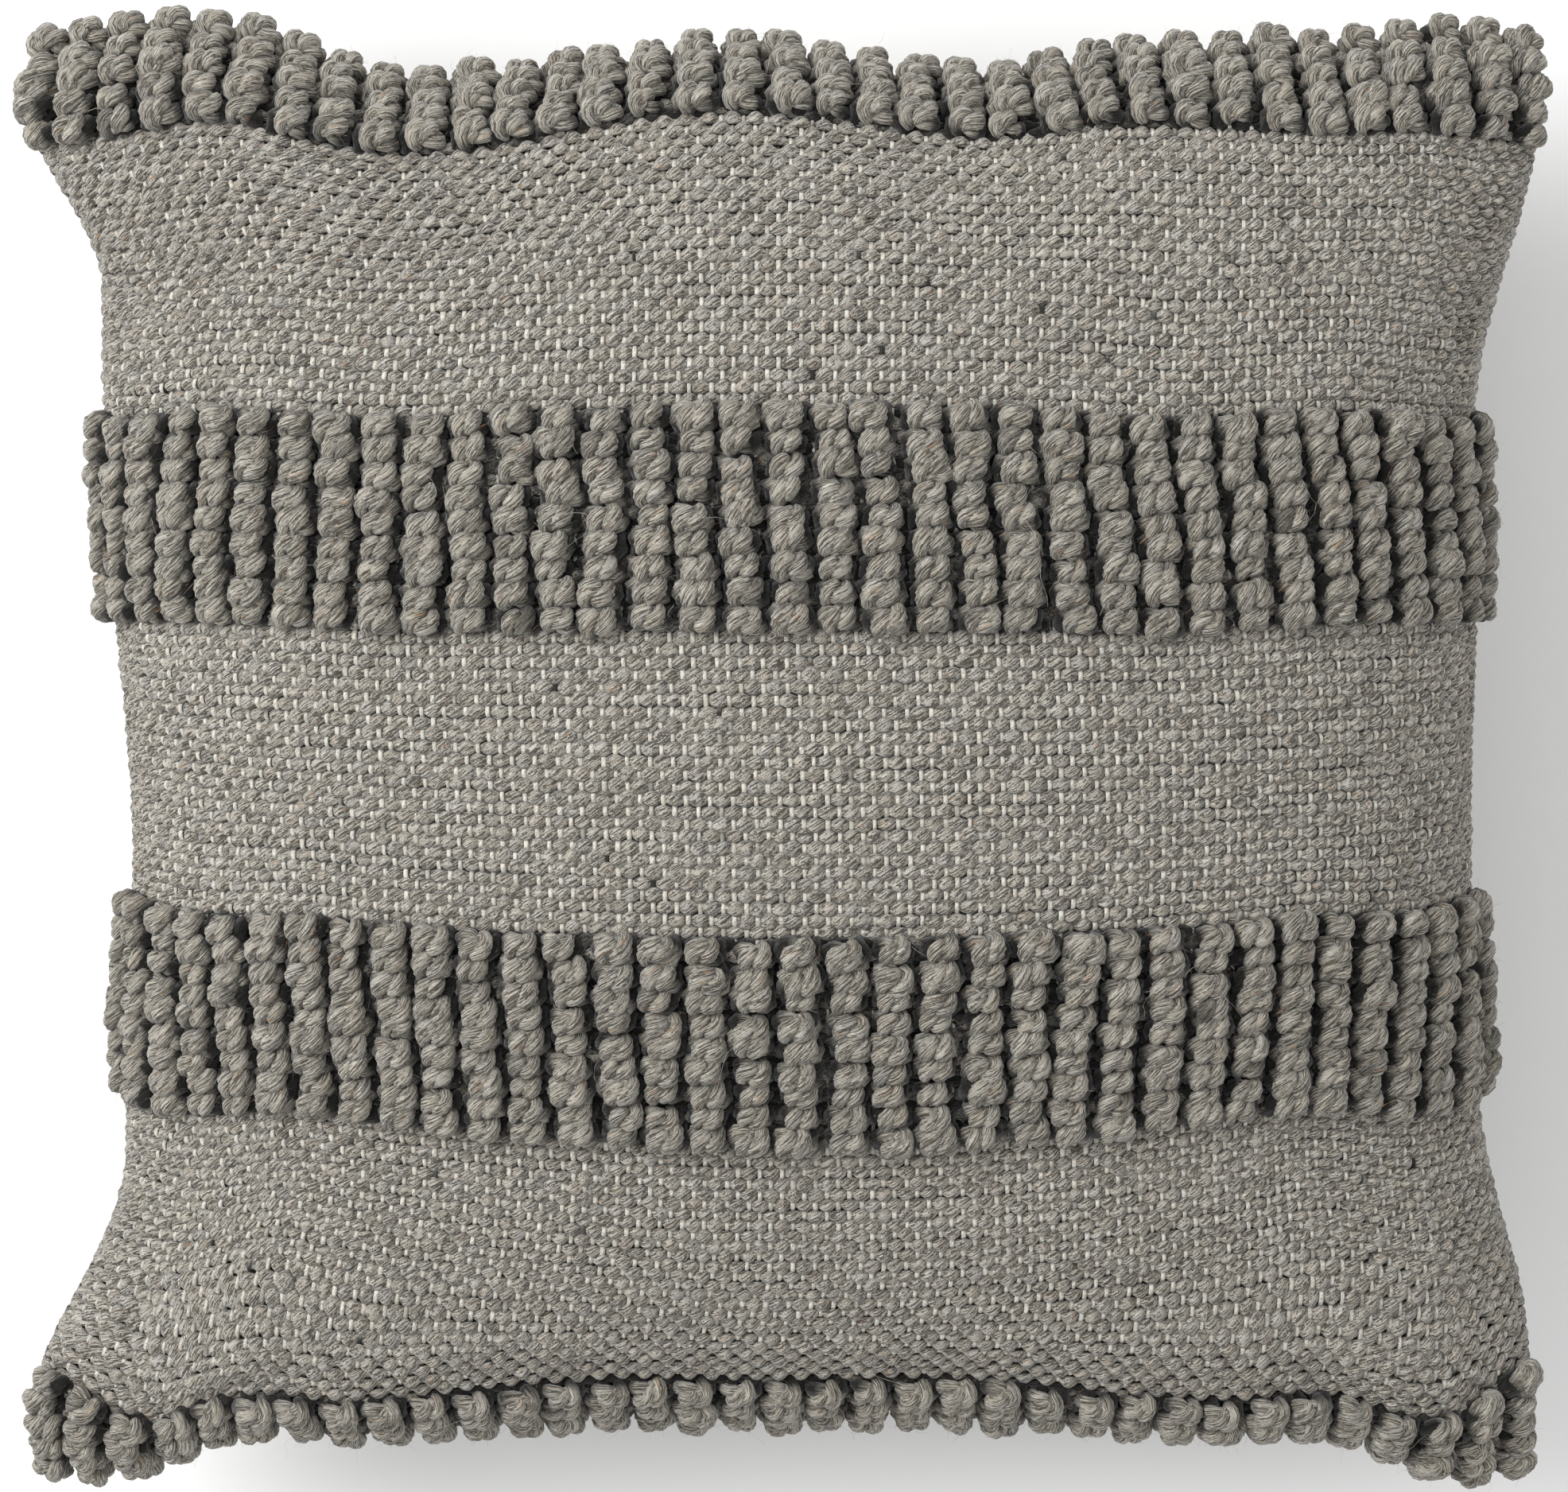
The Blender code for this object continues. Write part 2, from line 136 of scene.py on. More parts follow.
def outline_form(u, v):
    """Plan position and crown, from 0 at the seam to 1 in the middle, at cloth coordinates -1 to 1."""
    a, b = settled(u, v), settled(v, u)
    flare_left = np.where(v > 0, smoothstep(*FLARE_TOP_LEFT, np.abs(b)),
                          smoothstep(*FLARE_BOTTOM_LEFT, np.abs(b)))
    flare = np.where(u < 0, flare_left, smoothstep(*FLARE_RIGHT, np.abs(b)))
    waist_x = np.where(u < 0, WAIST_LEFT, WAIST_X)
    dip = DIP * bell(b, DIP_PLACE, DIP_HALF) * smoothstep(*DIP_REACH, np.abs(u))
    half_x = waist_x + (CORNER_X - waist_x) * flare - dip
    half_top = WAIST_TOP + (CORNER_TOP - WAIST_TOP) * smoothstep(*FLARE_TOP, np.abs(a))
    half_bottom = WAIST_BOTTOM + (CORNER_BOTTOM - WAIST_BOTTOM) * smoothstep(*FLARE_BOTTOM, np.abs(a))
    half_y = np.where(v > 0, half_top, half_bottom)
    ears = np.where(v > 0, EAR_ROUNDING_TOP, EAR_ROUNDING_BOTTOM)
    rounding = 1.0 - ears * np.abs(a * b) ** EAR_POWER
    lean = LEAN * smoothstep(*LEAN_RISES, b) * smoothstep(*LEAN_FADES, b)
    crown = (np.maximum(1.0 - a * a, 0.0) * np.maximum(1.0 - b * b, 0.0)) ** FULLNESS
    return rounding * a * half_x + lean, rounding * b * half_y + top_wave(a, v), crown


def cloth_grids():
    """Middle surfaces of the front and back panels about the seam plane, sharing their border."""
    u, v = PLACES
    x, y, crown = outline_form(u, v)
    swell = smoothstep(*LIP_RISES, np.abs(u)) * (1.0 - smoothstep(*LIP_FADES, np.abs(u)))
    over_zip = swell * np.sin(math.pi * np.clip((v + 1.0) / LIP_REACH, 0.0, 1.0))
    front = np.stack([x, y - LIP * over_zip, (FRONT_HEIGHT - YARN_DEPTH) * crown], axis=-1)
    dome = (FRONT_HEIGHT - RIM) * crown + RIM - YARN_DEPTH
    flat = BACK_HEIGHT - YARN_DEPTH
    back = np.stack([x, y, -np.minimum(dome, flat) * smoothstep(0.0, BACK_EDGE, crown)], axis=-1)
    return front, back


def cloth_mesh(front, back, name):
    """One closed mesh from the two grids; returns it with the vertex index of every grid point."""
    front_index = np.arange(BORDER.size).reshape(BORDER.shape)
    back_index = front_index.copy()
    back_index[~BORDER] = BORDER.size + np.arange((~BORDER).sum())
    points = np.concatenate([front.reshape(-1, 3), back[~BORDER]])
    quads = []
    for index, flip in ((front_index, False), (back_index, True)):
        ring = [index[:-1, :-1], index[:-1, 1:], index[1:, 1:], index[1:, :-1]]
        quads.append(np.stack(ring[::-1] if flip else ring, axis=-1).reshape(-1, 4))
    mesh = bpy.data.meshes.new(name)
    mesh.from_pydata(points.tolist(), [], np.concatenate(quads).tolist())
    return mesh, front_index, back_index


CLOTH_FRAMES = 24
FARTHEST_MOVE = 0.012  # no point of the cloth moves farther than this
CUT_APART = 0.0005  # the flat panels lie this far from the seam plane
CLOTH_SETTINGS = {
    "quality": 8,
    "mass": 0.05,
    "tension_stiffness": 15.0,
    "compression_stiffness": 8.0,
    "shear_stiffness": 5.0,
    "bending_stiffness": 1.5,
    "air_damping": 2.0,
    "use_pressure": True,
    "uniform_pressure_force": 4.0,
    "vertex_group_mass": "seam",
    "pin_stiffness": 1.0,
}


def flat_cut(mesh, front_index, back_index):
    """Each vertex's place in the cover as it was cut, before it was filled."""
    flat_x, flat_y = (HALF_CLOTH * place for place in PLACES)
    flat = np.zeros((len(mesh.vertices), 3), np.float32)
    for index, lift in ((back_index, -CUT_APART), (front_index, CUT_APART)):
        flat[index.ravel(), 0] = flat_x.ravel()
        flat[index.ravel(), 1] = flat_y.ravel()
        flat[index.ravel(), 2] = lift
    return flat


def add_cloth(cover, cut):
    """The cover's Cloth modifier, with the flat cut as its rest shape and its seam held."""
    modifier = cover.modifiers.new("cloth", "CLOTH")
    for name, value in CLOTH_SETTINGS.items():
        setattr(modifier.settings, name, value)
    modifier.settings.rest_shape_key = cut
    modifier.settings.effector_weights.gravity = 0.0
    modifier.collision_settings.use_collision = False
    modifier.point_cache.frame_start = 1
    modifier.point_cache.frame_end = CLOTH_FRAMES


def linked(name, data):
    """A new object in the scene."""
    thing = bpy.data.objects.new(name, data)
    bpy.context.scene.collection.objects.link(thing)
    return thing


def inflate(front, back):
    """Cloth simulation of the cover over its filling: the seam is held, the panels swell and pucker."""
    mesh, front_index, back_index = cloth_mesh(front, back, "cover_cloth")
    cover = linked("cover_cloth", mesh)
    cover.shape_key_add(name="filled")
    cut = cover.shape_key_add(name="flat")
    cut.value = 0.0
    cut.data.foreach_set("co", flat_cut(mesh, front_index, back_index).ravel())
    held = cover.vertex_groups.new(name="seam")
    held.add([int(i) for i in front_index[BORDER]], 1.0, "REPLACE")
    add_cloth(cover, cut)
    scene = bpy.context.scene
    scene.frame_start, scene.frame_end = 1, CLOTH_FRAMES
    for number in range(1, CLOTH_FRAMES + 1):
        scene.frame_set(number)
    solved = cover.evaluated_get(bpy.context.evaluated_depsgraph_get()).data
    points = np.empty(len(solved.vertices) * 3, np.float32)
    solved.vertices.foreach_get("co", points)
    points = points.reshape(-1, 3).astype(float)
    bpy.data.objects.remove(cover, do_unlink=True)
    scene.frame_set(1)
    return [capped(start, points[index]) for start, index in ((front, front_index), (back, back_index))]


def capped(start, end):
    """Each point's end, or as far towards it as a point may move."""
    move = end - start
    length = np.linalg.norm(move, axis=-1, keepdims=True)
    return start + move * np.minimum(1.0, FARTHEST_MOVE / np.maximum(length, 1e-9))


def rest_on_floor(back):
    """The middle of the back is pressed flat by what the pillow lies on."""
    back[..., 2] = np.maximum(back[..., 2], FLOOR_ROOM - SEAM_Z)


# ---- reading points off the cloth
def cubic_weights(t):
    """Catmull-Rom weights of four neighbours, and their slopes."""
    t2, t3 = t * t, t * t * t
    value = np.stack([-t3 + 2 * t2 - t, 3 * t3 - 5 * t2 + 2, -3 * t3 + 4 * t2 + t, t3 - t2], axis=0) / 2
    slope = np.stack([-3 * t2 + 4 * t - 1, 9 * t2 - 10 * t, -9 * t2 + 8 * t + 1, 3 * t2 - 2 * t], axis=0) / 2
    return value, slope


class Cloth:
    """A panel's middle surface, read at cloth coordinates from -1 to 1."""

    def __init__(self, grid, side):
        padded = np.pad(grid, ((1, 1), (1, 1), (0, 0)), mode="edge")
        padded[0] = 2 * padded[1] - padded[2]
        padded[-1] = 2 * padded[-2] - padded[-3]
        padded[:, 0] = 2 * padded[:, 1] - padded[:, 2]
        padded[:, -1] = 2 * padded[:, -2] - padded[:, -3]
        self.grid = padded
        self.side = side  # 1 for the front, -1 for the back

    def read(self, u, v):
        """Points, outward normals, the unit directions along u and v, and the stretch along v."""
        u, v = np.broadcast_arrays(u, v)
        place_u = np.clip((u + 1) / 2, 0, 1) * GRID
        place_v = np.clip((v + 1) / 2, 0, 1) * GRID
        i = np.minimum(place_u.astype(int), GRID - 1)
        j = np.minimum(place_v.astype(int), GRID - 1)
        wu, du = cubic_weights(place_u - i)
        wv, dv = cubic_weights(place_v - j)
        point = np.zeros(u.shape + (3,))
        along_u = np.zeros_like(point)
        along_v = np.zeros_like(point)
        for b in range(4):
            for a in range(4):
                corner = self.grid[j + b, i + a]
                point += (wv[b] * wu[a])[..., None] * corner
                along_u += (wv[b] * du[a])[..., None] * corner
                along_v += (dv[b] * wu[a])[..., None] * corner
        stretch = np.linalg.norm(along_v, axis=-1) * GRID / (2 * HALF_CLOTH)
        unit_u = unit(along_u)
        normal = unit(np.cross(along_u, along_v)) * self.side
        unit_v = np.cross(normal, unit_u) * self.side
        return point, normal, unit_u, unit_v, stretch


def unit(vectors):
    return vectors / np.maximum(np.linalg.norm(vectors, axis=-1, keepdims=True), 1e-12)


# ---- yarn geometry
RNG = np.random.default_rng(20)
MM = 1000.0
FIBRE_SHIFT = 900.0  # each yarn's fibres start up to this far along their pattern, mm


def wander(yarns, stations, period):
    """Smooth random values about 0, one row for each yarn, changing over `period` stations."""
    knots = max(4, int(stations / period) + 3)
    values = RNG.normal(0.0, 1.0, (yarns, knots))
    place = np.linspace(0, knots - 1.001, stations)
    i = place.astype(int)
    t = place - i
    t = t * t * (3 - 2 * t)
    return values[:, i] * (1 - t) + values[:, i + 1] * t


def travelled(points):
    """Distance along each line of points from its start."""
    step = np.linalg.norm(np.diff(points, axis=-2), axis=-1)
    return np.concatenate([0 * step[..., :1], np.cumsum(step, axis=-1)], axis=-1)


def tube_mesh(name, centre, across, up, half_width, half_height, sides, twist_pitch, tone,
              ridges=0, ridge=0.0):
    """Closed tubes through centre[yarn, station].  Each vertex keeps its place on the strand."""
    yarns, stations, _ = centre.shape
    angle = np.linspace(0, 2 * math.pi, sides, endpoint=False)
    length = travelled(centre) * MM
    turn = angle[None, None, :] + (2 * math.pi / twist_pitch) * length[..., None]
    swell = 1.0
    if ridges:
        phase = RNG.uniform(0, 2 * math.pi, (yarns, 1, 1))
        finer = 0.5 * ridge * np.cos((2 * ridges + 1) * turn + 2 * phase)
        swell = 1.0 + ridge * np.cos(ridges * turn + phase) + finer
    wide = half_width[..., None] * np.cos(angle) * swell
    high = half_height[..., None] * np.sin(angle) * swell
    points = centre[:, :, None] + wide[..., None] * across[:, :, None] + high[..., None] * up[:, :, None]
    radius = MM / 2 * (half_width + half_height)[..., None]
    start = RNG.uniform(0, FIBRE_SHIFT, (yarns, 1, 1))
    along = np.broadcast_to(length[..., None] + start, turn.shape)
    strand = np.stack([radius * np.cos(turn), radius * np.sin(turn), along], axis=-1)
    tones = np.broadcast_to(tone[..., None], turn.shape)

    index = np.arange(yarns * stations * sides).reshape(yarns, stations, sides)
    a, b = index[:, :-1], index[:, 1:]
    quads = np.stack([a, np.roll(a, -1, axis=2), np.roll(b, -1, axis=2), b], axis=-1).reshape(-1, 4)
    caps = np.concatenate([index[:, 0, ::-1], index[:, -1]])
    mesh = polygon_mesh(name, points.reshape(-1, 3), quads, caps)
    attribute = mesh.attributes.new("strand", "FLOAT_VECTOR", "POINT")
    attribute.data.foreach_set("vector", strand.astype(np.float32).ravel())
    attribute = mesh.attributes.new("tone", "FLOAT", "POINT")
    attribute.data.foreach_set("value", tones.astype(np.float32).ravel())
    return mesh


def polygon_mesh(name, points, quads, caps):
    """A mesh from arrays of four-sided faces and of end caps."""
    mesh = bpy.data.meshes.new(name)
    mesh.vertices.add(len(points))
    mesh.vertices.foreach_set("co", points.astype(np.float32).ravel())
    corners = np.concatenate([quads.ravel(), caps.ravel()])
    totals = np.concatenate([np.full(len(quads), 4), np.full(len(caps), caps.shape[1])])
    mesh.loops.add(len(corners))
    mesh.loops.foreach_set("vertex_index", corners.astype(np.int32))
    mesh.polygons.add(len(totals))
    mesh.polygons.foreach_set("loop_start", np.concatenate([[0], np.cumsum(totals)[:-1]]).astype(np.int32))
    mesh.update(calc_edges=True)
    mesh.validate()
    mesh.shade_smooth()
    return mesh


def add_piece(name, mesh, material, body, slot, *nodes):
    piece = linked(name, mesh)
    mesh.materials.append(material)
    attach(piece, body)
    if nodes:
        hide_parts(*nodes)
    return piece


# ---- the weave
WEFT_HALF = HALF_CLOTH / WEFTS  # half the flat pitch of the weft rows
WEFT_THICK = 0.00150  # half thickness of a weft, through the cloth
WEFT_WAVE = 0.00085
WARP_HALF = 0.00080
WARP_THICK = 0.00050
WARP_WAVE = 0.00088
WEFT_TWIST, WARP_TWIST = 19.0, 7.0  # mm of yarn for one turn
WEFT_RIDGES, WEFT_RIDGE = 2, 0.04
WEFT_OVAL = (1.30, 0.55)  # a weft's width between two warps, and what it loses at a warp
WEFT_TONES = (0.32, 0.8)
SLUBS = (0.86, 1.22)  # how thin and how thick an uneven yarn gets
WARP_SUNK, WARP_UNEVEN, WARP_HIDDEN = 0.00016, 0.00034, 0.0008
TUCK = 0.0035  # cloth turned in at the seams
SEAM_ROOM = 0.0012  # from the seam plane to the middle of a turned-in edge
ZIP_ROOM, ZIP_ROOM_FADE = 0.0040, 0.008  # that at the zip, and how fast it fades at the zip's ends
ZIP_ROOM_END, PULL_END = ZIP_HALF + 0.003, ZIP_HALF + 0.020
PULL_ROOM, PULL_ROOM_PLACE, PULL_ROOM_HALF = 0.0032, ZIP_HALF + 0.005, 0.011
EDGE_POWER = 12  # how fast the room for the zip fades away from the seam


def zip_lift(x, v, end=ZIP_ROOM_END):
    """How far the zip, and the pull that lies past it, hold the cloth's edge from the seam plane."""
    along = 1.0 - smoothstep(end - ZIP_ROOM_FADE, end, np.abs(x))
    return ZIP_ROOM * along * ((1.0 - v) / 2.0) ** EDGE_POWER


def pull_room(x, v):
    """How far the cloth's edge is drawn in past each end of the zip, where the pull can lie."""
    at_edge = np.clip((1.0 - v) / 2.0, 0.0, 1.0) ** EDGE_POWER
    return PULL_ROOM * bell(np.abs(x), PULL_ROOM_PLACE, PULL_ROOM_HALF) * at_edge


def laid(cloth, u, v):
    """The cloth's frame at (u, v), with its edges parted at the seam and turned in past it."""
    point, *others = cloth.read(u, v)
    over_u = np.maximum(np.abs(u) - 1.0, 0.0) * HALF_CLOTH
    over_v = np.maximum(np.abs(v) - 1.0, 0.0) * HALF_CLOTH
    edge = smoothstep(0.93, 1.0, np.maximum(np.abs(u), np.abs(v)))
    room = SEAM_ROOM * edge * (1.0 - 0.5 * np.minimum((over_u + over_v) / TUCK, 1.0))
    point[..., 0] -= np.sign(u) * over_u
    point[..., 1] -= np.sign(v) * over_v
    point[..., 1] += pull_room(point[..., 0], v)
    point[..., 2] += cloth.side * (room + zip_lift(point[..., 0], v))
    return point, *others


def reach_over(waves, per_wave):
    """Cloth coordinates along a yarn from one turned-in edge to the other."""
    over = TUCK / HALF_CLOTH
    inside = np.linspace(-1.0, 1.0, int(waves * per_wave) + 1)
    bend = 0.4 * over
    return np.concatenate([[-1.0 - over, -1.0 - bend], inside, [1.0 + bend, 1.0 + over]])


def wefts(cloth, first, last, name, material, per_wave, sides, node, shade=0.0):
    """The weft rows from `first` up to `last`, each passing over one warp and under the next."""
    rows = np.arange(first, last)
    u = reach_over(WARPS / 2, per_wave)
    count = len(u)

    def uneven(waves):
        return wander(len(rows), count, per_wave * waves)

    u_all, v_all = np.meshgrid(u, 2 * (rows + 0.5) / WEFTS - 1)
    v_all = v_all + uneven(3) * 0.11 / WEFTS
    point, normal, _, unit_v, stretch = laid(cloth, u_all, v_all)
    crossing = (1 + np.cos(math.pi * ((u_all + 1) / 2 * WARPS - 0.5 - rows[:, None]))) / 2
    long_slub, lump = uneven(6), uneven(0.9)
    slub = np.clip(1.0 + 0.06 * long_slub + 0.09 * lump, *SLUBS)
    height = WEFT_WAVE * (1.0 - 2.0 * crossing**1.6)
    wide, pinched = WEFT_OVAL
    half_width = WEFT_HALF * stretch * slub * (wide - pinched * crossing**1.3)
    half_height = WEFT_THICK * slub * (1.0 - 0.30 * crossing)
    centre = point + normal * height[..., None]
    row_tone = 0.5 + 0.07 * RNG.normal(0, 1, (len(rows), 1))
    tone = np.clip(row_tone + 0.07 * long_slub + 0.20 * uneven(1.2), *WEFT_TONES)
    # painted shade: under the loops, away from the sides and the seams, the wefts' tone is lowered by
    # `shade`, painting them darker where the pile shades them
    by_side, by_seam = smoothstep(0.90, 0.97, np.abs(u_all)), smoothstep(0.955, 0.985, np.abs(v_all))
    tone = tone - shade * (1.0 - by_side) * (1.0 - by_seam)
    mesh = tube_mesh(name, centre, unit_v, normal, half_width, half_height, sides, WEFT_TWIST, tone,
                     WEFT_RIDGES, WEFT_RIDGE)
    return add_piece(name, mesh, material, "cover", "wool_weave", node)


def hidden_warps(u, v, side):
    """Where the wefts are packed over the warps, from 0 to 1."""
    if side < 0:
        return 0.0 * u
    row = (v + 1) / 2 * WEFTS
    under_loops = sum(smoothstep(start - 0.5, start + 1.0, row) * smoothstep(end + 0.5, end - 1.0, row)
                      for start, end in zip(STARTS[0:-1:2], STARTS[1::2]))
    top_left = smoothstep(0.52, 0.74, v) * (0.35 + 0.65 * smoothstep(0.30, -0.60, u))
    bottom = smoothstep(-0.74, -0.82, v)
    corner = smoothstep(0.80, 0.95, np.abs(u)) * smoothstep(0.45, 0.75, np.abs(v))
    return np.clip(top_left + bottom + corner, 0.0, 1.0) + 0.8 * under_loops


def warps(cloth, first, last, name, material, per_wave, sides, node):
    """The cotton warps from `first` up to `last`, seen where they pass over a weft."""
    ends = np.arange(first, last)
    v = reach_over(WEFTS / 2, per_wave)
    count = len(v)

    def uneven(waves):
        return wander(len(ends), count, per_wave * waves)

    v_all, u_all = np.meshgrid(v, 2 * (ends + 0.5) / WARPS - 1)
    u_all = u_all + uneven(4) * 0.07 / WARPS
    point, normal, unit_u, *_ = laid(cloth, u_all, v_all)
    wave = np.cos(math.pi * ((v_all + 1) / 2 * WEFTS - 0.5 - ends[:, None]))
    hidden = hidden_warps(u_all, v_all, cloth.side)
    sunk = WARP_SUNK + WARP_UNEVEN * np.clip(uneven(0.8), -1.5, 1.5) + WARP_HIDDEN * hidden
    centre = point + normal * (WARP_WAVE * wave - sunk)[..., None]
    half_width = WARP_HALF * (1 + 0.10 * uneven(1.5))
    half_height = np.full(u_all.shape, WARP_THICK)
    tone = 0.5 + 0.2 * uneven(1)
    mesh = tube_mesh(name, centre, unit_u, normal, half_width, half_height, sides, WARP_TWIST, tone)
    return add_piece(name, mesh, material, "cover", "cotton", node)


# ---- the loops
LOOP_REACH = 0.0031  # half the distance between a loop's two legs at its crown
LOOP_SPREAD = 0.0008  # more than that at its feet
LOOP_RISE = 0.0063  # crown of the yarn's middle over the cloth's middle
PLY_OFFSET = 0.00180  # the yarn is two plies twisted together
PLY_RADIUS = 0.00214
PLY_WIDE = 1.28  # the rows press on each other, so the loops fill the column
PLY_TURN = 0.0080  # length of yarn for one turn of the plies
PLY_TWIST = 45.0  # mm of ply for one turn of its fibres
LOOP_STATIONS, LOOP_SIDES = 26, 9
LOOP_LIMIT = 0.985  # no loop's middle is nearer a seam than this, in cloth coordinates
LOOP_SHIFT, LOOP_SWAY = 0.0004, 0.0007
LOOP_SIZES = (0.85, 1.25)
LEG_SWEEP = 0.12  # how far past a half circle each leg sweeps, in half circles
CROWN_POWER = 0.75  # below 1, a crown is flatter than a half circle
SADDLE, SADDLE_HALF = 0.0010, 0.07  # the dip in the crown, and its half width
OUTWARD, DROOP = 0.9, 0.5  # how far the loops by a seam lean outward, and hang by the zip
# right of the middle, the bottom loops are drawn in over the zip
DRAWN_IN, DRAWN_PLACE, DRAWN_HALF = 0.8, 0.22, 0.12


def draw(spread, *shape):
    return spread * RNG.normal(0.0, 1.0, shape)


def loop_frames(cloth, u, v):
    """The cloth's frame under each loop.  By a seam the loops lean outward, and over the zip they hang."""
    point, normal, unit_u, unit_v, *_ = laid(cloth, u, v)
    point[..., 2] += zip_lift(point[..., 0], v, PULL_END) - zip_lift(point[..., 0], v)
    edge_u, edge_v = smoothstep(0.84, 1.0, np.abs(u)), smoothstep(0.86, 1.0, np.abs(v))
    drawn_in = DRAWN_IN * bell(u, DRAWN_PLACE, DRAWN_HALF) * (v < 0)
    lean = np.stack([np.sign(u) * edge_u, np.sign(v) * edge_v * (1.0 - drawn_in), 0 * u], axis=-1)
    lean[..., 2] -= DROOP * edge_v * (v < 0)
    normal = unit(normal + OUTWARD * lean)
    unit_u = unit(unit_u - (unit_u * normal).sum(-1, keepdims=True) * normal)
    return point, normal, unit_u, np.cross(normal, unit_u)


def loop_paths(frames, size):
    """Each loop's middle line up one leg, over the crown and down the other, with its frame."""
    point, normal, unit_u, unit_v = (vectors[:, None] for vectors in frames)
    count = len(point)
    w = np.linspace(-1.0, 1.0, LOOP_STATIONS)[None, :]
    t = 0.5 + 0.5 * w * (0.6 + 0.4 * w * w)
    phi = math.pi * ((1.0 + 2 * LEG_SWEEP) * t - LEG_SWEEP)
    arch = np.sign(np.sin(phi)) * np.abs(np.sin(phi)) ** CROWN_POWER
    upper = np.clip(arch, 0.0, 1.0)
    saddle = bell(t, 0.5, SADDLE_HALF)
    x = -(LOOP_REACH * size + LOOP_SPREAD * (1.0 - upper) ** 0.7) * np.cos(phi)
    y = 0.0004 * np.sin(2 * phi) * upper
    z = LOOP_RISE * size * (1.0 + draw(0.06, count, 1)) * arch - SADDLE * saddle
    turned = np.radians(12.0 + draw(9.0, count, 1)) * upper
    x, y = x * np.cos(turned) - y * np.sin(turned), x * np.sin(turned) + y * np.cos(turned)
    x, y = x + draw(0.0006, count, 1) * upper, y + draw(0.0005, count, 1) * upper
    centre = point + x[..., None] * unit_u + y[..., None] * unit_v + z[..., None] * normal
    tangent = unit(np.gradient(centre, axis=1))
    guide = unit_v * np.cos(turned)[..., None] - unit_u * np.sin(turned)[..., None]
    across = unit(guide - (guide * tangent).sum(-1, keepdims=True) * tangent)
    return centre, across, np.cross(tangent, across), arch, saddle


def ply(path, start, plump, shade):
    """One of the two plies that wind about each loop's middle line; `shade` is painted shade taken off its
    tone, and painted light where it is negative.
    """
    centre, across, up = path
    count = len(centre)
    length = travelled(centre)
    middle = length[:, -1:] / 2
    turn = start + np.radians(draw(14.0, count, 1)) - 2 * math.pi * (length - middle) / PLY_TURN
    offset = PLY_OFFSET * plump * (1.0 + draw(0.08, count, 1))
    aside, above = PLY_WIDE * offset * np.cos(turn), offset * np.sin(turn)
    line = centre + aside[..., None] * across + above[..., None] * up
    along = unit(np.gradient(line, axis=1))
    side = unit(across - (across * along).sum(-1, keepdims=True) * along)
    radius = PLY_RADIUS * plump * (1.0 + draw(0.07, count, 1)) * (1 + 0.05 * wander(count, LOOP_STATIONS, 5))
    tone = 0.5 + draw(0.10, count, 1) + 0.08 * wander(count, LOOP_STATIONS, 5) - shade
    return line, side, np.cross(along, side), radius, tone


def loops(cloth, first, rows, columns, name, material, node):
    """Rows of hairpin loops of thick two-ply roving, one to every four warps."""
    row, column = (grid.ravel() for grid in np.meshgrid(np.arange(rows), np.array(columns), indexing="ij"))
    count = len(row)
    sway = wander(COLUMNS, rows, 3)[column, row] * LOOP_SWAY
    u = 2 * COLUMN_WARPS * (column + 0.5) / WARPS - 1 + (sway + draw(LOOP_SHIFT, count)) / HALF_CLOTH
    v = 2 * (first + PICKS_PER_LOOP_ROW * row + 1.0) / WEFTS - 1 + draw(LOOP_SHIFT, count) / HALF_CLOTH
    u, v = np.clip(u, -LOOP_LIMIT, LOOP_LIMIT), np.clip(v, -LOOP_LIMIT, LOOP_LIMIT)
    size = np.clip(1.0 + draw(0.065, count, 1), *LOOP_SIZES)
    *path, arch, saddle = loop_paths(loop_frames(cloth, u, v), size)
    plump = size * (0.75 + 0.25 * smoothstep(-0.3, 0.5, arch)) * (1.0 - 0.20 * saddle)
    at_seam = smoothstep(0.84, 0.95, np.abs(v))[:, None]
    # painted shade: the loops' legs, low in the pile, are painted darker towards their feet; by a seam they
    # are painted less dark, and the crowns there are painted lighter as painted light
    shade = (0.85 - 0.35 * at_seam) * (1.0 - smoothstep(0.15, 0.88, arch)) - 0.2 * at_seam
    plies = [ply(path, start, plump, shade) for start in (0.0, math.pi)]
    centre, across, up, radius, tone = (np.concatenate(pair) for pair in zip(*plies))
    mesh = tube_mesh(name, centre, across, up, radius * PLY_WIDE, radius, LOOP_SIDES, PLY_TWIST, tone)
    SURFACES[name] = centre, across, up, radius
    return add_piece(name, mesh, material, "cover", "wool_loops", node)


# ---- fuzz
SURFACES = {}  # where each piece of loops can grow fuzz
PLAIN_TWIST = 1000.0  # mm for one turn of a strand with no twist to see
HAIR_HALF = 0.000032
HAIR_STATIONS, HAIR_SIDES = 5, 3
HAIR_TONES = (0.35, 0.9)
FUZZ_LENGTHS, FUZZ_CURL = (0.0012, 0.0042), 0.45
STRAY_LENGTHS, STRAY_CURL, STRAY_REACH = (0.006, 0.016), 0.35, 0.93
OVER_LOOPS, OVER_WEAVE = 0.0095, 0.0022  # how high the stray hairs start


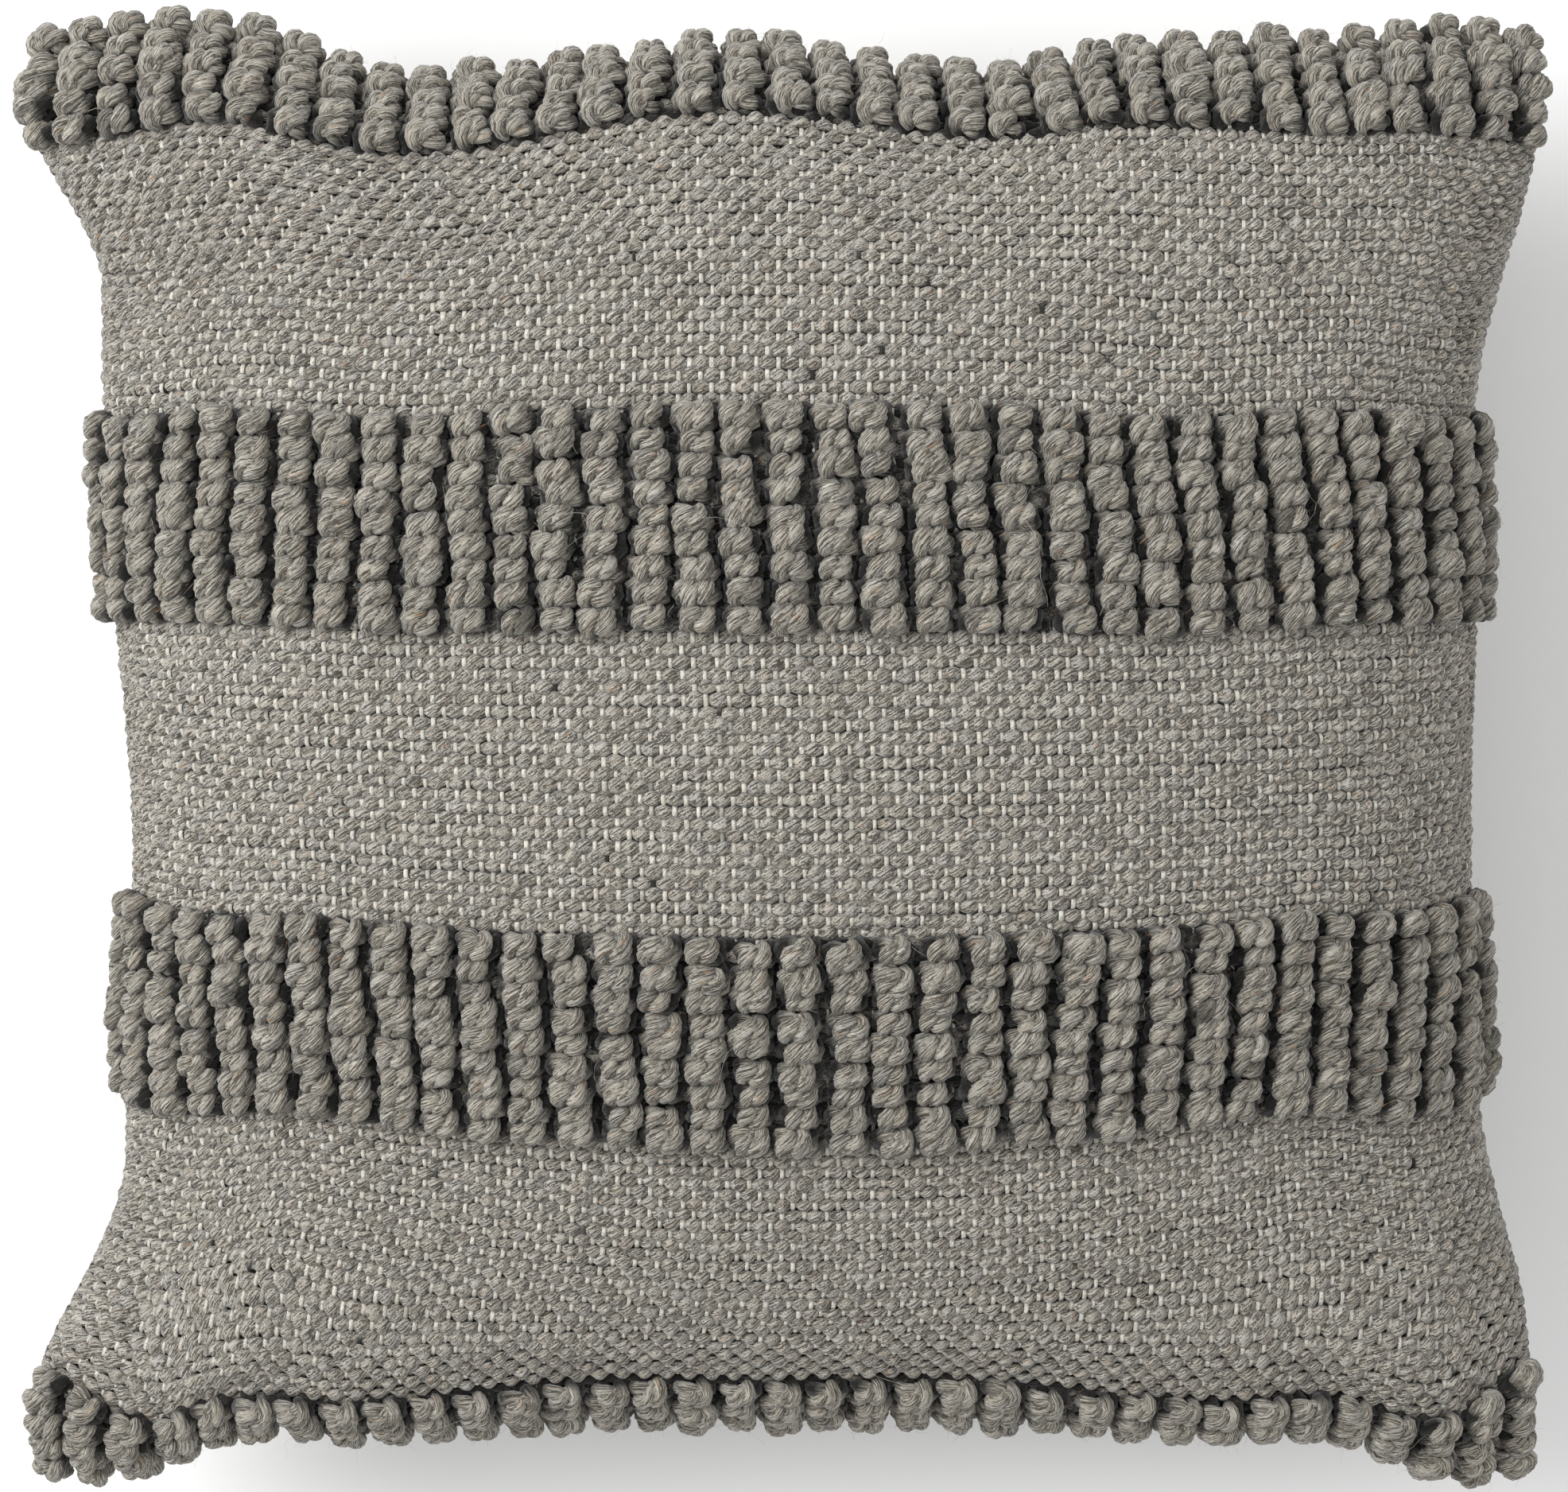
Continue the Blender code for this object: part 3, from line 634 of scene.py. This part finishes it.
def hair_mesh(name, root, direction, length, curl, half):
    """Fine curling fibres growing from their roots."""
    count = len(root)
    t = np.linspace(0.0, 1.0, HAIR_STATIONS)
    bend_one, bend_two = (unit(RNG.normal(0.0, 1.0, (count, 3))) for _ in range(2))
    reach = length[:, None]
    straight, bowed = (reach * t)[..., None], (curl * reach * t**2)[..., None]
    wavy = (0.5 * curl * reach * np.sin(math.pi * 1.5 * t))[..., None]
    centre = root[:, None] + straight * direction[:, None]
    centre = centre + bowed * bend_one[:, None] + wavy * bend_two[:, None]
    tangent = unit(np.gradient(centre, axis=1))
    across = unit(np.cross(tangent, unit(RNG.normal(0.0, 1.0, (count, 1, 3)))))
    size = half * (1.0 - 0.5 * t)[None, :] * np.ones((count, 1))
    tone = np.clip(0.55 + 0.15 * RNG.normal(0.0, 1.0, (count, 1)), *HAIR_TONES)
    tone = tone * np.ones((1, HAIR_STATIONS))
    up = np.cross(tangent, across)
    return tube_mesh(name, centre, across, up, size, size, HAIR_SIDES, PLAIN_TWIST, tone)


def loop_fuzz(name, source, per_ply, material):
    """Loose fibres standing off the loops."""
    centre, across, up, radius = SURFACES[source]
    which = np.repeat(np.arange(len(centre)), per_ply)
    station = RNG.integers(4, LOOP_STATIONS - 4, len(which))
    angle = RNG.uniform(0.0, 2 * math.pi, len(which))
    at = which, station
    out = np.cos(angle)[:, None] * across[at] + np.sin(angle)[:, None] * up[at]
    root = centre[at] + radius[at][:, None] * 0.95 * out
    direction = unit(out + 0.9 * RNG.normal(0.0, 1.0, out.shape))
    length = RNG.uniform(*FUZZ_LENGTHS, len(which))
    mesh = hair_mesh(name, root, direction, length, FUZZ_CURL, HAIR_HALF)
    return add_piece(name, mesh, material, "cover", "wool_loops")


def stray_hairs(name, cloth, count, material):
    """A few long pale fibres lying across the front."""
    u, v = RNG.uniform(-STRAY_REACH, STRAY_REACH, (2, count))
    point, normal, *_ = laid(cloth, u, v)
    row = (v + 1) / 2 * WEFTS
    on_loops = sum((row > start) & (row < end) for start, end in zip(STARTS[0:-1:2], STARTS[1::2]))
    root = point + normal * np.where(on_loops, OVER_LOOPS, OVER_WEAVE)[:, None]
    flat = RNG.normal(0.0, 1.0, (count, 3))
    direction = unit(flat - 0.9 * (flat * normal).sum(-1, keepdims=True) * normal)
    length = RNG.uniform(*STRAY_LENGTHS, count)
    mesh = hair_mesh(name, root, direction, length, STRAY_CURL, 1.6 * HAIR_HALF)
    return add_piece(name, mesh, material, "cover", "wool_loops")


# ---- the edges and the insert
STITCH, STITCH_GAP = 0.0034, 0.0006
STITCH_INSET = 0.0016  # the stitches lie this far inside the cover's outline
THREAD_HALF, THREAD_TWIST = 0.00035, 3.0
STITCH_STATIONS, STITCH_BULGE, STITCH_SLANT = 6, 0.0007, 0.0004
RUN_STATIONS = 1200
INSERT_SHARE = 0.945  # the insert's edge, as a share of the cover's
CASE_INSET, FILLING_INSET = 0.0045, 0.0060
INSERT_SEAM_HALF = 0.0010
UPWARD = np.array([0.0, 0.0, 1.0])


def seam_line(u, v):
    """The seam in the seam plane, a little inside the cover's outline."""
    x, y, _ = outline_form(u, v)
    y = y + pull_room(x, v)
    inset_x = STITCH_INSET * np.sign(u) * (np.abs(u) == 1)
    inset_y = STITCH_INSET * np.sign(v) * (np.abs(v) == 1)
    return np.stack([x - inset_x, y - inset_y, 0.0 * x], axis=-1)


def seam_stitches(name, u_span, v_span, material, node):
    """A row of stitches along one straight run of cloth coordinates."""
    t = np.linspace(0.0, 1.0, RUN_STATIONS)
    line = seam_line(u_span[0] + (u_span[1] - u_span[0]) * t, v_span[0] + (v_span[1] - v_span[0]) * t)
    distance = travelled(line)
    count = int(distance[-1] / (STITCH + STITCH_GAP))
    share = np.linspace(0.0, 1.0, STITCH_STATIONS)
    middle = (np.arange(count)[:, None] + 0.5) * distance[-1] / count
    place = middle + (share[None, :] - 0.5) * STITCH
    centre = np.stack([np.interp(place, distance, line[:, k]) for k in range(3)], axis=-1)
    along = unit(np.gradient(centre, axis=1))
    outward = np.stack([along[..., 1], -along[..., 0], 0 * along[..., 0]], axis=-1)
    outward *= np.sign((outward * centre).sum(-1, keepdims=True))
    centre += outward * (STITCH_BULGE * np.sin(math.pi * share))[None, :, None]
    centre[..., 2] += STITCH_SLANT * (share - 0.5)[None, :]
    up = np.broadcast_to(UPWARD, centre.shape)
    size = np.full(centre.shape[:2], THREAD_HALF)
    tone = np.full(centre.shape[:2], 0.5)
    mesh = tube_mesh(name, centre, outward, up, size, size, 6, THREAD_TWIST, tone)
    return add_piece(name, mesh, material, "cover", "cotton", node)


def inner_pad(front, back, inset, name, material, slot, *nodes):
    """A closed pad a little inside the cover, pushed in by the zip."""
    u, v = PLACES
    faces = []
    for cloth in (front, back):
        point, normal, *_ = cloth.read(u * INSERT_SHARE, v * INSERT_SHARE)
        point[..., 1] += zip_lift(point[..., 0], v * INSERT_SHARE)
        faces.append(point - normal * inset)
    seam = (faces[0] + faces[1]) / 2
    for face, side in zip(faces, (1, -1)):
        face[BORDER] = seam[BORDER]
        face[..., 2] = side * np.maximum(side * face[..., 2], 0.0)
    mesh, *_ = cloth_mesh(faces[0], faces[1], name)
    mesh.shade_smooth()
    return add_piece(name, mesh, material, "cover", slot, *nodes)


def insert_seam(front, back, material):
    """The insert's own seam, a rounded cord of cloth around its edge."""
    line = np.linspace(-INSERT_SHARE, INSERT_SHARE, GRID + 1)
    low, high = np.full(GRID + 1, -INSERT_SHARE), np.full(GRID + 1, INSERT_SHARE)
    u = np.concatenate([line, high, line[::-1], low])
    v = np.concatenate([low, line, high, line[::-1]])
    edges = []
    for cloth in (front, back):
        point, normal, *_ = cloth.read(u, v)
        point[..., 1] += zip_lift(point[..., 0], v)
        edges.append(point - normal * CASE_INSET)
    centre = ((edges[0] + edges[1]) / 2)[None]
    centre[..., 2] = 0.0
    keep = np.concatenate([[True], np.linalg.norm(np.diff(centre[0], axis=0), axis=-1) > 1e-5])
    centre = centre[:, keep]
    along = unit(np.gradient(centre, axis=1))
    up = np.broadcast_to(UPWARD, centre.shape)
    size = np.full(centre.shape[:2], INSERT_SEAM_HALF)
    name, across, tone = "insert_seam", np.cross(along, up), 0.5 + 0 * size
    mesh = tube_mesh(name, centre, across, up, size, size, 6, PLAIN_TWIST, tone)
    return add_piece(name, mesh, material, "cover", "cotton", "insert_seam_thread")


COIL_PITCH, COIL_STATIONS = 0.0011, 12
COIL_HALF = 0.00032  # half thickness of the coil's nylon
COIL_ROOM_Y, COIL_ROOM_Z = 0.0003, 0.0002  # how much smaller the coil is than the row of teeth


def zip_coil(side, material):
    """One half of the zip: a nylon coil whose heads meet the other half's."""
    start, low_y, low_z = (float(value) for value in TEETH_LOW)
    end, high_y, high_z = (float(value) for value in TEETH_HIGH)
    turns = int((end - start) / COIL_PITCH)
    t = np.linspace(0.0, turns * 2 * math.pi, turns * COIL_STATIONS + 1)
    depth = (high_y - low_y) / 2 - COIL_ROOM_Y
    width = (high_z - low_z) / 2 - COIL_ROOM_Z
    middle_y = (low_y + high_y) / 2
    middle_z = side * abs((low_z + high_z) / 2 - SEAM_Z)
    shift = 0.0 if side > 0 else COIL_PITCH / 4
    x = start + shift + (end - start - COIL_PITCH / 2) * t / t[-1]
    centre = np.stack([x, middle_y + depth * np.cos(t), middle_z - side * width * np.sin(t)], axis=-1)[None]
    tangent = unit(np.gradient(centre, axis=1))
    radial = np.stack([0 * t, np.cos(t), -side * np.sin(t)], axis=-1)[None]
    up = unit(radial - (radial * tangent).sum(-1, keepdims=True) * tangent)
    across = np.cross(tangent, up)
    radius = np.full(t.shape, COIL_HALF)[None]
    tone = np.full(t.shape, 0.5)[None]
    label = "front" if side > 0 else "back"
    mesh = tube_mesh(f"zip_coil_{label}", centre, across, up, radius, radius, 6, PLAIN_TWIST, tone)
    return add_piece(f"zip_coil_{label}", mesh, material, "cover", "zip_plastic", f"zip_teeth_{label}")


def lift_to_seam(piece):
    """The soft pieces are made about the seam plane."""
    points = np.empty(len(piece.data.vertices) * 3, np.float32)
    piece.data.vertices.foreach_get("co", points)
    points[2::3] += SEAM_Z
    piece.data.vertices.foreach_set("co", points)
    piece.data.update()


# ---- materials
def new_material(name):
    material = bpy.data.materials.new(name)
    material.use_nodes = True
    tree = material.node_tree
    return material, tree, tree.nodes["Principled BSDF"]


def add(tree, kind, **values):
    node = tree.nodes.new(kind)
    for key, value in values.items():
        setattr(node, key, value)
    return node


def set_inputs(node, values):
    for name, value in values.items():
        node.inputs[name].default_value = value


def feed(tree, value, socket):
    """Give a socket a number or a colour, or link it to another's output."""
    if isinstance(value, (int, float)):
        socket.default_value = value
    elif isinstance(value, tuple):
        socket.default_value = (*value, 1.0)
    else:
        tree.links.new(value, socket)


def ramp(tree, source, *stops):
    node = add(tree, "ShaderNodeValToRGB")
    while len(node.color_ramp.elements) < len(stops):
        node.color_ramp.elements.new(0.5)
    for element, (position, color) in zip(node.color_ramp.elements, stops):
        element.position = position
        element.color = (*color, 1.0)
    tree.links.new(source, node.inputs["Fac"])
    return node.outputs["Color"]


def noise(tree, vector, scale, detail=3.0, roughness=0.6, stretch=None):
    if stretch is not None:
        mapping = add(tree, "ShaderNodeMapping")
        mapping.inputs["Scale"].default_value = stretch
        tree.links.new(vector, mapping.inputs["Vector"])
        vector = mapping.outputs["Vector"]
    node = add(tree, "ShaderNodeTexNoise")
    set_inputs(node, {"Scale": scale, "Detail": detail, "Roughness": roughness})
    tree.links.new(vector, node.inputs["Vector"])
    return node.outputs["Fac"]


def mix(tree, kind, factor, first, second):
    node = add(tree, "ShaderNodeMix", data_type="RGBA", blend_type=kind)
    for socket, value in ((node.inputs["Factor"], factor), (node.inputs[6], first), (node.inputs[7], second)):
        feed(tree, value, socket)
    return node.outputs[2]


def math_node(tree, operation, first, second):
    node = add(tree, "ShaderNodeMath", operation=operation)
    feed(tree, first, node.inputs[0])
    feed(tree, second, node.inputs[1])
    return node.outputs[0]


def fit(tree, value, low, high, to_low, to_high):
    node = add(tree, "ShaderNodeMapRange")
    tree.links.new(value, node.inputs["Value"])
    set_inputs(node, {"From Min": low, "From Max": high, "To Min": to_low, "To Max": to_high})
    return node.outputs["Result"]


def surface(tree, shader, color, grain, roughness, height, distance):
    """The shader's colour, its roughness, which follows the grain, and its bump."""
    tree.links.new(color, shader.inputs["Base Color"])
    tree.links.new(fit(tree, grain, 0.3, 0.7, *roughness), shader.inputs["Roughness"])
    node = add(tree, "ShaderNodeBump")
    set_inputs(node, {"Strength": 1.0, "Distance": distance})
    tree.links.new(height, node.inputs["Height"])
    tree.links.new(node.outputs["Normal"], shader.inputs["Normal"])


def strand_noise(tree, strand, scale, roughness, stretch):
    """Noise drawn out along the strand."""
    return noise(tree, strand, scale, 2.0, roughness, (1.0, 1.0, stretch))


def scaled(color, factors):
    return tuple(channel * factor for channel, factor in zip(color, factors))


def weighted(tree, first, second, share):
    """The first value by its share, and the second by the rest."""
    parts = math_node(tree, "MULTIPLY", first, share), math_node(tree, "MULTIPLY", second, 1.0 - share)
    return math_node(tree, "ADD", *parts)


WARM, COOL = (0.94, 0.85, 0.74), (0.80, 0.84, 0.96)  # tinges of the heather wool
FLECK = (0.36, 0.20, 0.10)


def heather(tree, strand, tone, colors, coarse, fine, flecks):
    """The strand's colour, mixed from fibres of four colours and two tinges, then darkened by painted shade
    where its tone is low.
    """
    deep, dark, mid, light = colors
    locks = strand_noise(tree, strand, 0.55, 0.5, 0.22)
    color = ramp(tree, weighted(tree, locks, tone, 0.6), (0.38, dark), (0.62, mid))
    tinge = strand_noise(tree, strand, 0.30, 0.5, 0.30)
    color = mix(tree, "MIX", fit(tree, tinge, 0.53, 0.68, 0.0, 0.5), color, scaled(mid, WARM))
    color = mix(tree, "MIX", fit(tree, tinge, 0.45, 0.32, 0.0, 0.5), color, scaled(mid, COOL))
    color = mix(tree, "MIX", fit(tree, fine, 0.50, 0.62, 0.0, 0.85), color, light)
    color = mix(tree, "MIX", fit(tree, coarse, 0.535, 0.43, 0.0, 0.92), color, deep)
    # painted shade: where the tone drops below 0.3 the colour is multiplied down, to a twentieth at 0,
    # painting the shade deep in the pile and under the loops
    painted_shade_multiplier = add(tree, "ShaderNodeCombineColor")
    for socket in painted_shade_multiplier.inputs[:3]:
        tree.links.new(fit(tree, tone, 0.0, 0.3, 0.05, 1.0), socket)
    color = mix(tree, "MULTIPLY", 1.0, color, painted_shade_multiplier.outputs["Color"])
    if flecks:
        spots = strand_noise(tree, strand, 1.5, 0.5, 0.10)
        color = mix(tree, "MIX", fit(tree, spots, 0.69, 0.73, 0.0, 0.85), color, FLECK)
    return color


def yarn_material(name, colors, fibre=2.3, lift=0.0005, sheen=0.25, flecks=True):
    """Heather wool or cotton: darker and lighter fibres run along the strand."""
    material, tree, shader = new_material(name)
    strand = add(tree, "ShaderNodeAttribute", attribute_name="strand").outputs["Vector"]
    tone = add(tree, "ShaderNodeAttribute", attribute_name="tone").outputs["Fac"]
    coarse = strand_noise(tree, strand, fibre, 0.55, 0.07)
    fine = strand_noise(tree, strand, fibre * 2.3, 0.6, 0.05)
    color = heather(tree, strand, tone, colors, coarse, fine, flecks)
    set_inputs(shader, {"Sheen Weight": sheen, "Sheen Roughness": 0.45, "Specular IOR Level": 0.2})
    surface(tree, shader, color, fine, (0.98, 0.80), weighted(tree, coarse, fine, 0.65), lift)
    return material


def cotton_material(name, color, cells):
    """Plain woven cotton sheet."""
    material, tree, shader = new_material(name)
    place = add(tree, "ShaderNodeTexCoord").outputs["Object"]
    across = add(tree, "ShaderNodeTexWave", wave_type="BANDS", bands_direction="X")
    along = add(tree, "ShaderNodeTexWave", wave_type="BANDS", bands_direction="Y")
    for node in (across, along):
        set_inputs(node, {"Scale": cells, "Distortion": 1.2})
        tree.links.new(place, node.inputs["Vector"])
    weave = math_node(tree, "MULTIPLY", across.outputs["Fac"], along.outputs["Fac"])
    uneven = noise(tree, place, 60.0, 4.0)
    darker = tuple(0.72 * channel for channel in color)
    shade = weighted(tree, weave, uneven, 0.5)
    set_inputs(shader, {"Sheen Weight": 0.2})
    color = ramp(tree, shade, (0.15, darker), (0.75, color))
    surface(tree, shader, color, uneven, (0.85, 0.97), weave, 0.0002)
    return material


def metal_material(name):
    """Dull nickel plating with fine scratches."""
    material, tree, shader = new_material(name)
    place = add(tree, "ShaderNodeTexCoord").outputs["Object"]
    scratches = noise(tree, place, 900.0, 3.0, 0.6, (0.15, 1.0, 1.0))
    stains = noise(tree, place, 160.0, 3.0)
    plating = ramp(tree, stains, (0.35, (0.34, 0.33, 0.32)), (0.65, (0.52, 0.52, 0.53)))
    set_inputs(shader, {"Metallic": 1.0})
    surface(tree, shader, plating, scratches, (0.28, 0.50), scratches, 0.00003)
    return material


def plastic_material(name, color):
    material, tree, shader = new_material(name)
    place = add(tree, "ShaderNodeTexCoord").outputs["Object"]
    uneven = noise(tree, place, 700.0, 3.0)
    darker = tuple(0.7 * channel for channel in color)
    color = ramp(tree, uneven, (0.3, darker), (0.7, color))
    surface(tree, shader, color, uneven, (0.38, 0.55), uneven, 0.00003)
    return material


# ---- camera, light and floor
CAMERA_DISTANCE, CAMERA_TILT = 2.2, math.radians(6.8)
CAMERA_TARGET = (0.0, 0.0015, SEAM_Z)
CAMERA_WIDTH, SENSOR = 0.493, 36.0  # width seen at the target, metres; sensor width, mm
FLOOR_HALF = 6.0
LIGHTS_AIM = (0.0, 0.0, 0.05)
KEY_PLACE, KEY_SIZE, KEY_POWER = (-1.65, 1.0, 2.0), 2.0, 69.0
FILL_PLACE, FILL_SIZE, FILL_POWER = (1.3, 0.1, 2.2), 1.8, 6.0
WORLD_STRENGTH = 0.70


def make_camera():
    data = bpy.data.cameras.new("camera")
    camera = linked("camera", data)
    away = Vector((0.0, math.sin(CAMERA_TILT), math.cos(CAMERA_TILT)))
    camera.location = Vector(CAMERA_TARGET) + away * CAMERA_DISTANCE
    camera.rotation_euler = (-CAMERA_TILT, 0.0, 0.0)
    data.sensor_width = SENSOR
    data.lens = SENSOR * CAMERA_DISTANCE / CAMERA_WIDTH
    data.clip_end = 20.0
    bpy.context.scene.camera = camera


def area_light(name, location, size, power):
    data = bpy.data.lights.new(name, "AREA")
    data.shape = "DISK"
    data.size = size
    data.energy = power
    light = linked(name, data)
    light.location = location
    light.rotation_euler = (Vector(LIGHTS_AIM) - light.location).to_track_quat("-Z", "Y").to_euler()


def make_floor():
    corners = [(x * FLOOR_HALF, y * FLOOR_HALF, 0.0) for x, y in ((-1, -1), (1, -1), (1, 1), (-1, 1))]
    mesh = bpy.data.meshes.new("floor")
    mesh.from_pydata(corners, [], [(0, 1, 2, 3)])
    floor = linked("floor", mesh)
    material, _, shader = new_material("floor")
    set_inputs(shader, {"Base Color": (0.93, 0.93, 0.93, 1.0), "Roughness": 0.9})
    mesh.materials.append(material)


def make_surroundings():
    make_floor()
    world = bpy.data.worlds.new("studio")
    world.use_nodes = True
    background = world.node_tree.nodes["Background"]
    set_inputs(background, {"Color": (1.0, 1.0, 1.0, 1.0), "Strength": WORLD_STRENGTH})
    bpy.context.scene.world = world
    area_light("key", KEY_PLACE, KEY_SIZE, KEY_POWER)
    area_light("fill", FILL_PLACE, FILL_SIZE, FILL_POWER)
    bpy.context.scene.view_settings.view_transform = "Standard"


# ---- the pillow
# each yarn's colours: its deepest fibres, its shade, its own colour, its lightest fibres
WOOL_COLORS = (0.050, 0.044, 0.036), (0.238, 0.218, 0.183), (0.38, 0.356, 0.31), (0.65, 0.625, 0.57)
ROVING_COLORS = (0.045, 0.040, 0.033), (0.213, 0.196, 0.160), (0.356, 0.332, 0.283), (0.61, 0.585, 0.52)
HAIR_COLORS = (0.45, 0.42, 0.36), (0.55, 0.52, 0.46), (0.70, 0.67, 0.60), (0.80, 0.78, 0.70)
COTTON_COLORS = (0.36, 0.34, 0.29), (0.52, 0.50, 0.44), (0.64, 0.62, 0.56), (0.76, 0.74, 0.68)
# stations for each wave, and sides, of each weft
PLAIN_DETAIL, BURIED_DETAIL, BACK_DETAIL = (7, 8), (3, 5), (6, 6)
PAINTED_SHADE_UNDER_LOOPS = 0.46  # painted shade: how much darker the wefts are painted under the loops, where the pile shades them
FUZZ_PER_PLY, STRAY_HAIRS = 12, 160
SEAM_END = 0.985
STRIPES = ("bottom", "plain_low", "lower", "plain_middle", "upper", "plain_high", "top")

make_camera()
make_surroundings()

front_grid, back_grid = cloth_grids()
front_grid, back_grid = inflate(front_grid, back_grid)
rest_on_floor(back_grid)
FRONT, BACK = Cloth(front_grid, 1), Cloth(back_grid, -1)

WOOL = yarn_material("wool", WOOL_COLORS)
ROVING = yarn_material("roving", ROVING_COLORS, fibre=2.8)
PALE_HAIR = yarn_material("pale_hair", HAIR_COLORS)
COTTON_YARN = yarn_material("cotton_yarn", COTTON_COLORS, 3.0, 0.0001, 0.2, flecks=False)
COTTON_CLOTH = cotton_material("cotton_cloth", (0.72, 0.70, 0.63), 420.0)
FIBRE_FILL = cotton_material("fibre_fill", (0.88, 0.88, 0.86), 60.0)
TAPE = cotton_material("tape", (0.24, 0.23, 0.21), 700.0)
NYLON = plastic_material("nylon", (0.20, 0.19, 0.18))
METAL = metal_material("metal")


def stripe_pieces(number, stripe):
    """One stripe of the front: its wefts, and its loops when it is a band."""
    first, last = int(STARTS[number]), int(STARTS[number + 1])
    if number % 2:
        return [wefts(FRONT, first, last, f"weft_{stripe}", WOOL, *PLAIN_DETAIL, "front_panel")]
    name, node = f"weft_{stripe}", f"{stripe}_loop_band"
    pieces = [wefts(FRONT, first, last, name, WOOL, *BURIED_DETAIL, "front_panel", PAINTED_SHADE_UNDER_LOOPS)]
    rows = PICKS[number] // PICKS_PER_LOOP_ROW
    for label, columns in (("left", range(COLUMNS // 2)), ("right", range(COLUMNS // 2, COLUMNS))):
        pieces.append(loops(FRONT, first, rows, columns, f"loops_{stripe}_{label}", ROVING, node))
    return pieces


def spans(total, parts):
    """Numbered runs that cut `total` yarns into `parts` nearly equal parts."""
    cuts = [round(total * part / parts) for part in range(parts + 1)]
    return enumerate(zip(cuts[:-1], cuts[1:]))


soft = []
for number, stripe in enumerate(STRIPES):
    soft += stripe_pieces(number, stripe)
for part, (first, last) in spans(WARPS, 3):
    soft.append(warps(FRONT, first, last, f"warp_{part}", COTTON_YARN, 6, 5, "front_panel"))
for part, (first, last) in spans(WEFTS, 4):
    soft.append(wefts(BACK, first, last, f"back_weft_{part}", WOOL, *BACK_DETAIL, "back_panel"))
for part, (first, last) in spans(WARPS, 2):
    soft.append(warps(BACK, first, last, f"back_warp_{part}", COTTON_YARN, 5, 4, "back_panel"))
soft.append(inner_pad(FRONT, BACK, CASE_INSET, "insert_case", COTTON_CLOTH, "cotton",
                      "insert_case_front", "insert_case_back"))
soft.append(inner_pad(FRONT, BACK, FILLING_INSET, "filling", FIBRE_FILL, "fibre", "insert_filling"))

details = [insert_seam(FRONT, BACK, COTTON_CLOTH)]
for source in SURFACES:
    details.append(loop_fuzz(source.replace("loops", "fuzz"), source, FUZZ_PER_PLY, ROVING))
details.append(stray_hairs("stray_hairs", FRONT, STRAY_HAIRS, PALE_HAIR))
beside_zip = ZIP_ROOM_END / WAIST_X
for name, u_span, v_span in (("left_seam", (-1.0, -1.0), (-SEAM_END, SEAM_END)),
                             ("right_seam", (1.0, 1.0), (-SEAM_END, SEAM_END)),
                             ("top_seam", (-SEAM_END, SEAM_END), (1.0, 1.0)),
                             ("bottom_seam_left", (-SEAM_END, -beside_zip), (-1.0, -1.0)),
                             ("bottom_seam_right", (beside_zip, SEAM_END), (-1.0, -1.0))):
    node = name.replace("seam", "seam_thread")
    details.append(seam_stitches(f"{name}_stitches", u_span, v_span, COTTON_YARN, node))
details += [zip_coil(side, NYLON) for side in (1, -1)]
for piece in soft + details:
    lift_to_seam(piece)

KEPT_NODES = {"zip_tape_front": TAPE, "zip_tape_back": TAPE, "zip_top_stop_front": METAL,
              "zip_top_stop_back": METAL, "zip_bottom_stop": METAL, "zip_slider": METAL, "zip_pull": METAL}
for node, material in KEPT_NODES.items():
    bpy.data.objects[node].material_slots[0].material = material
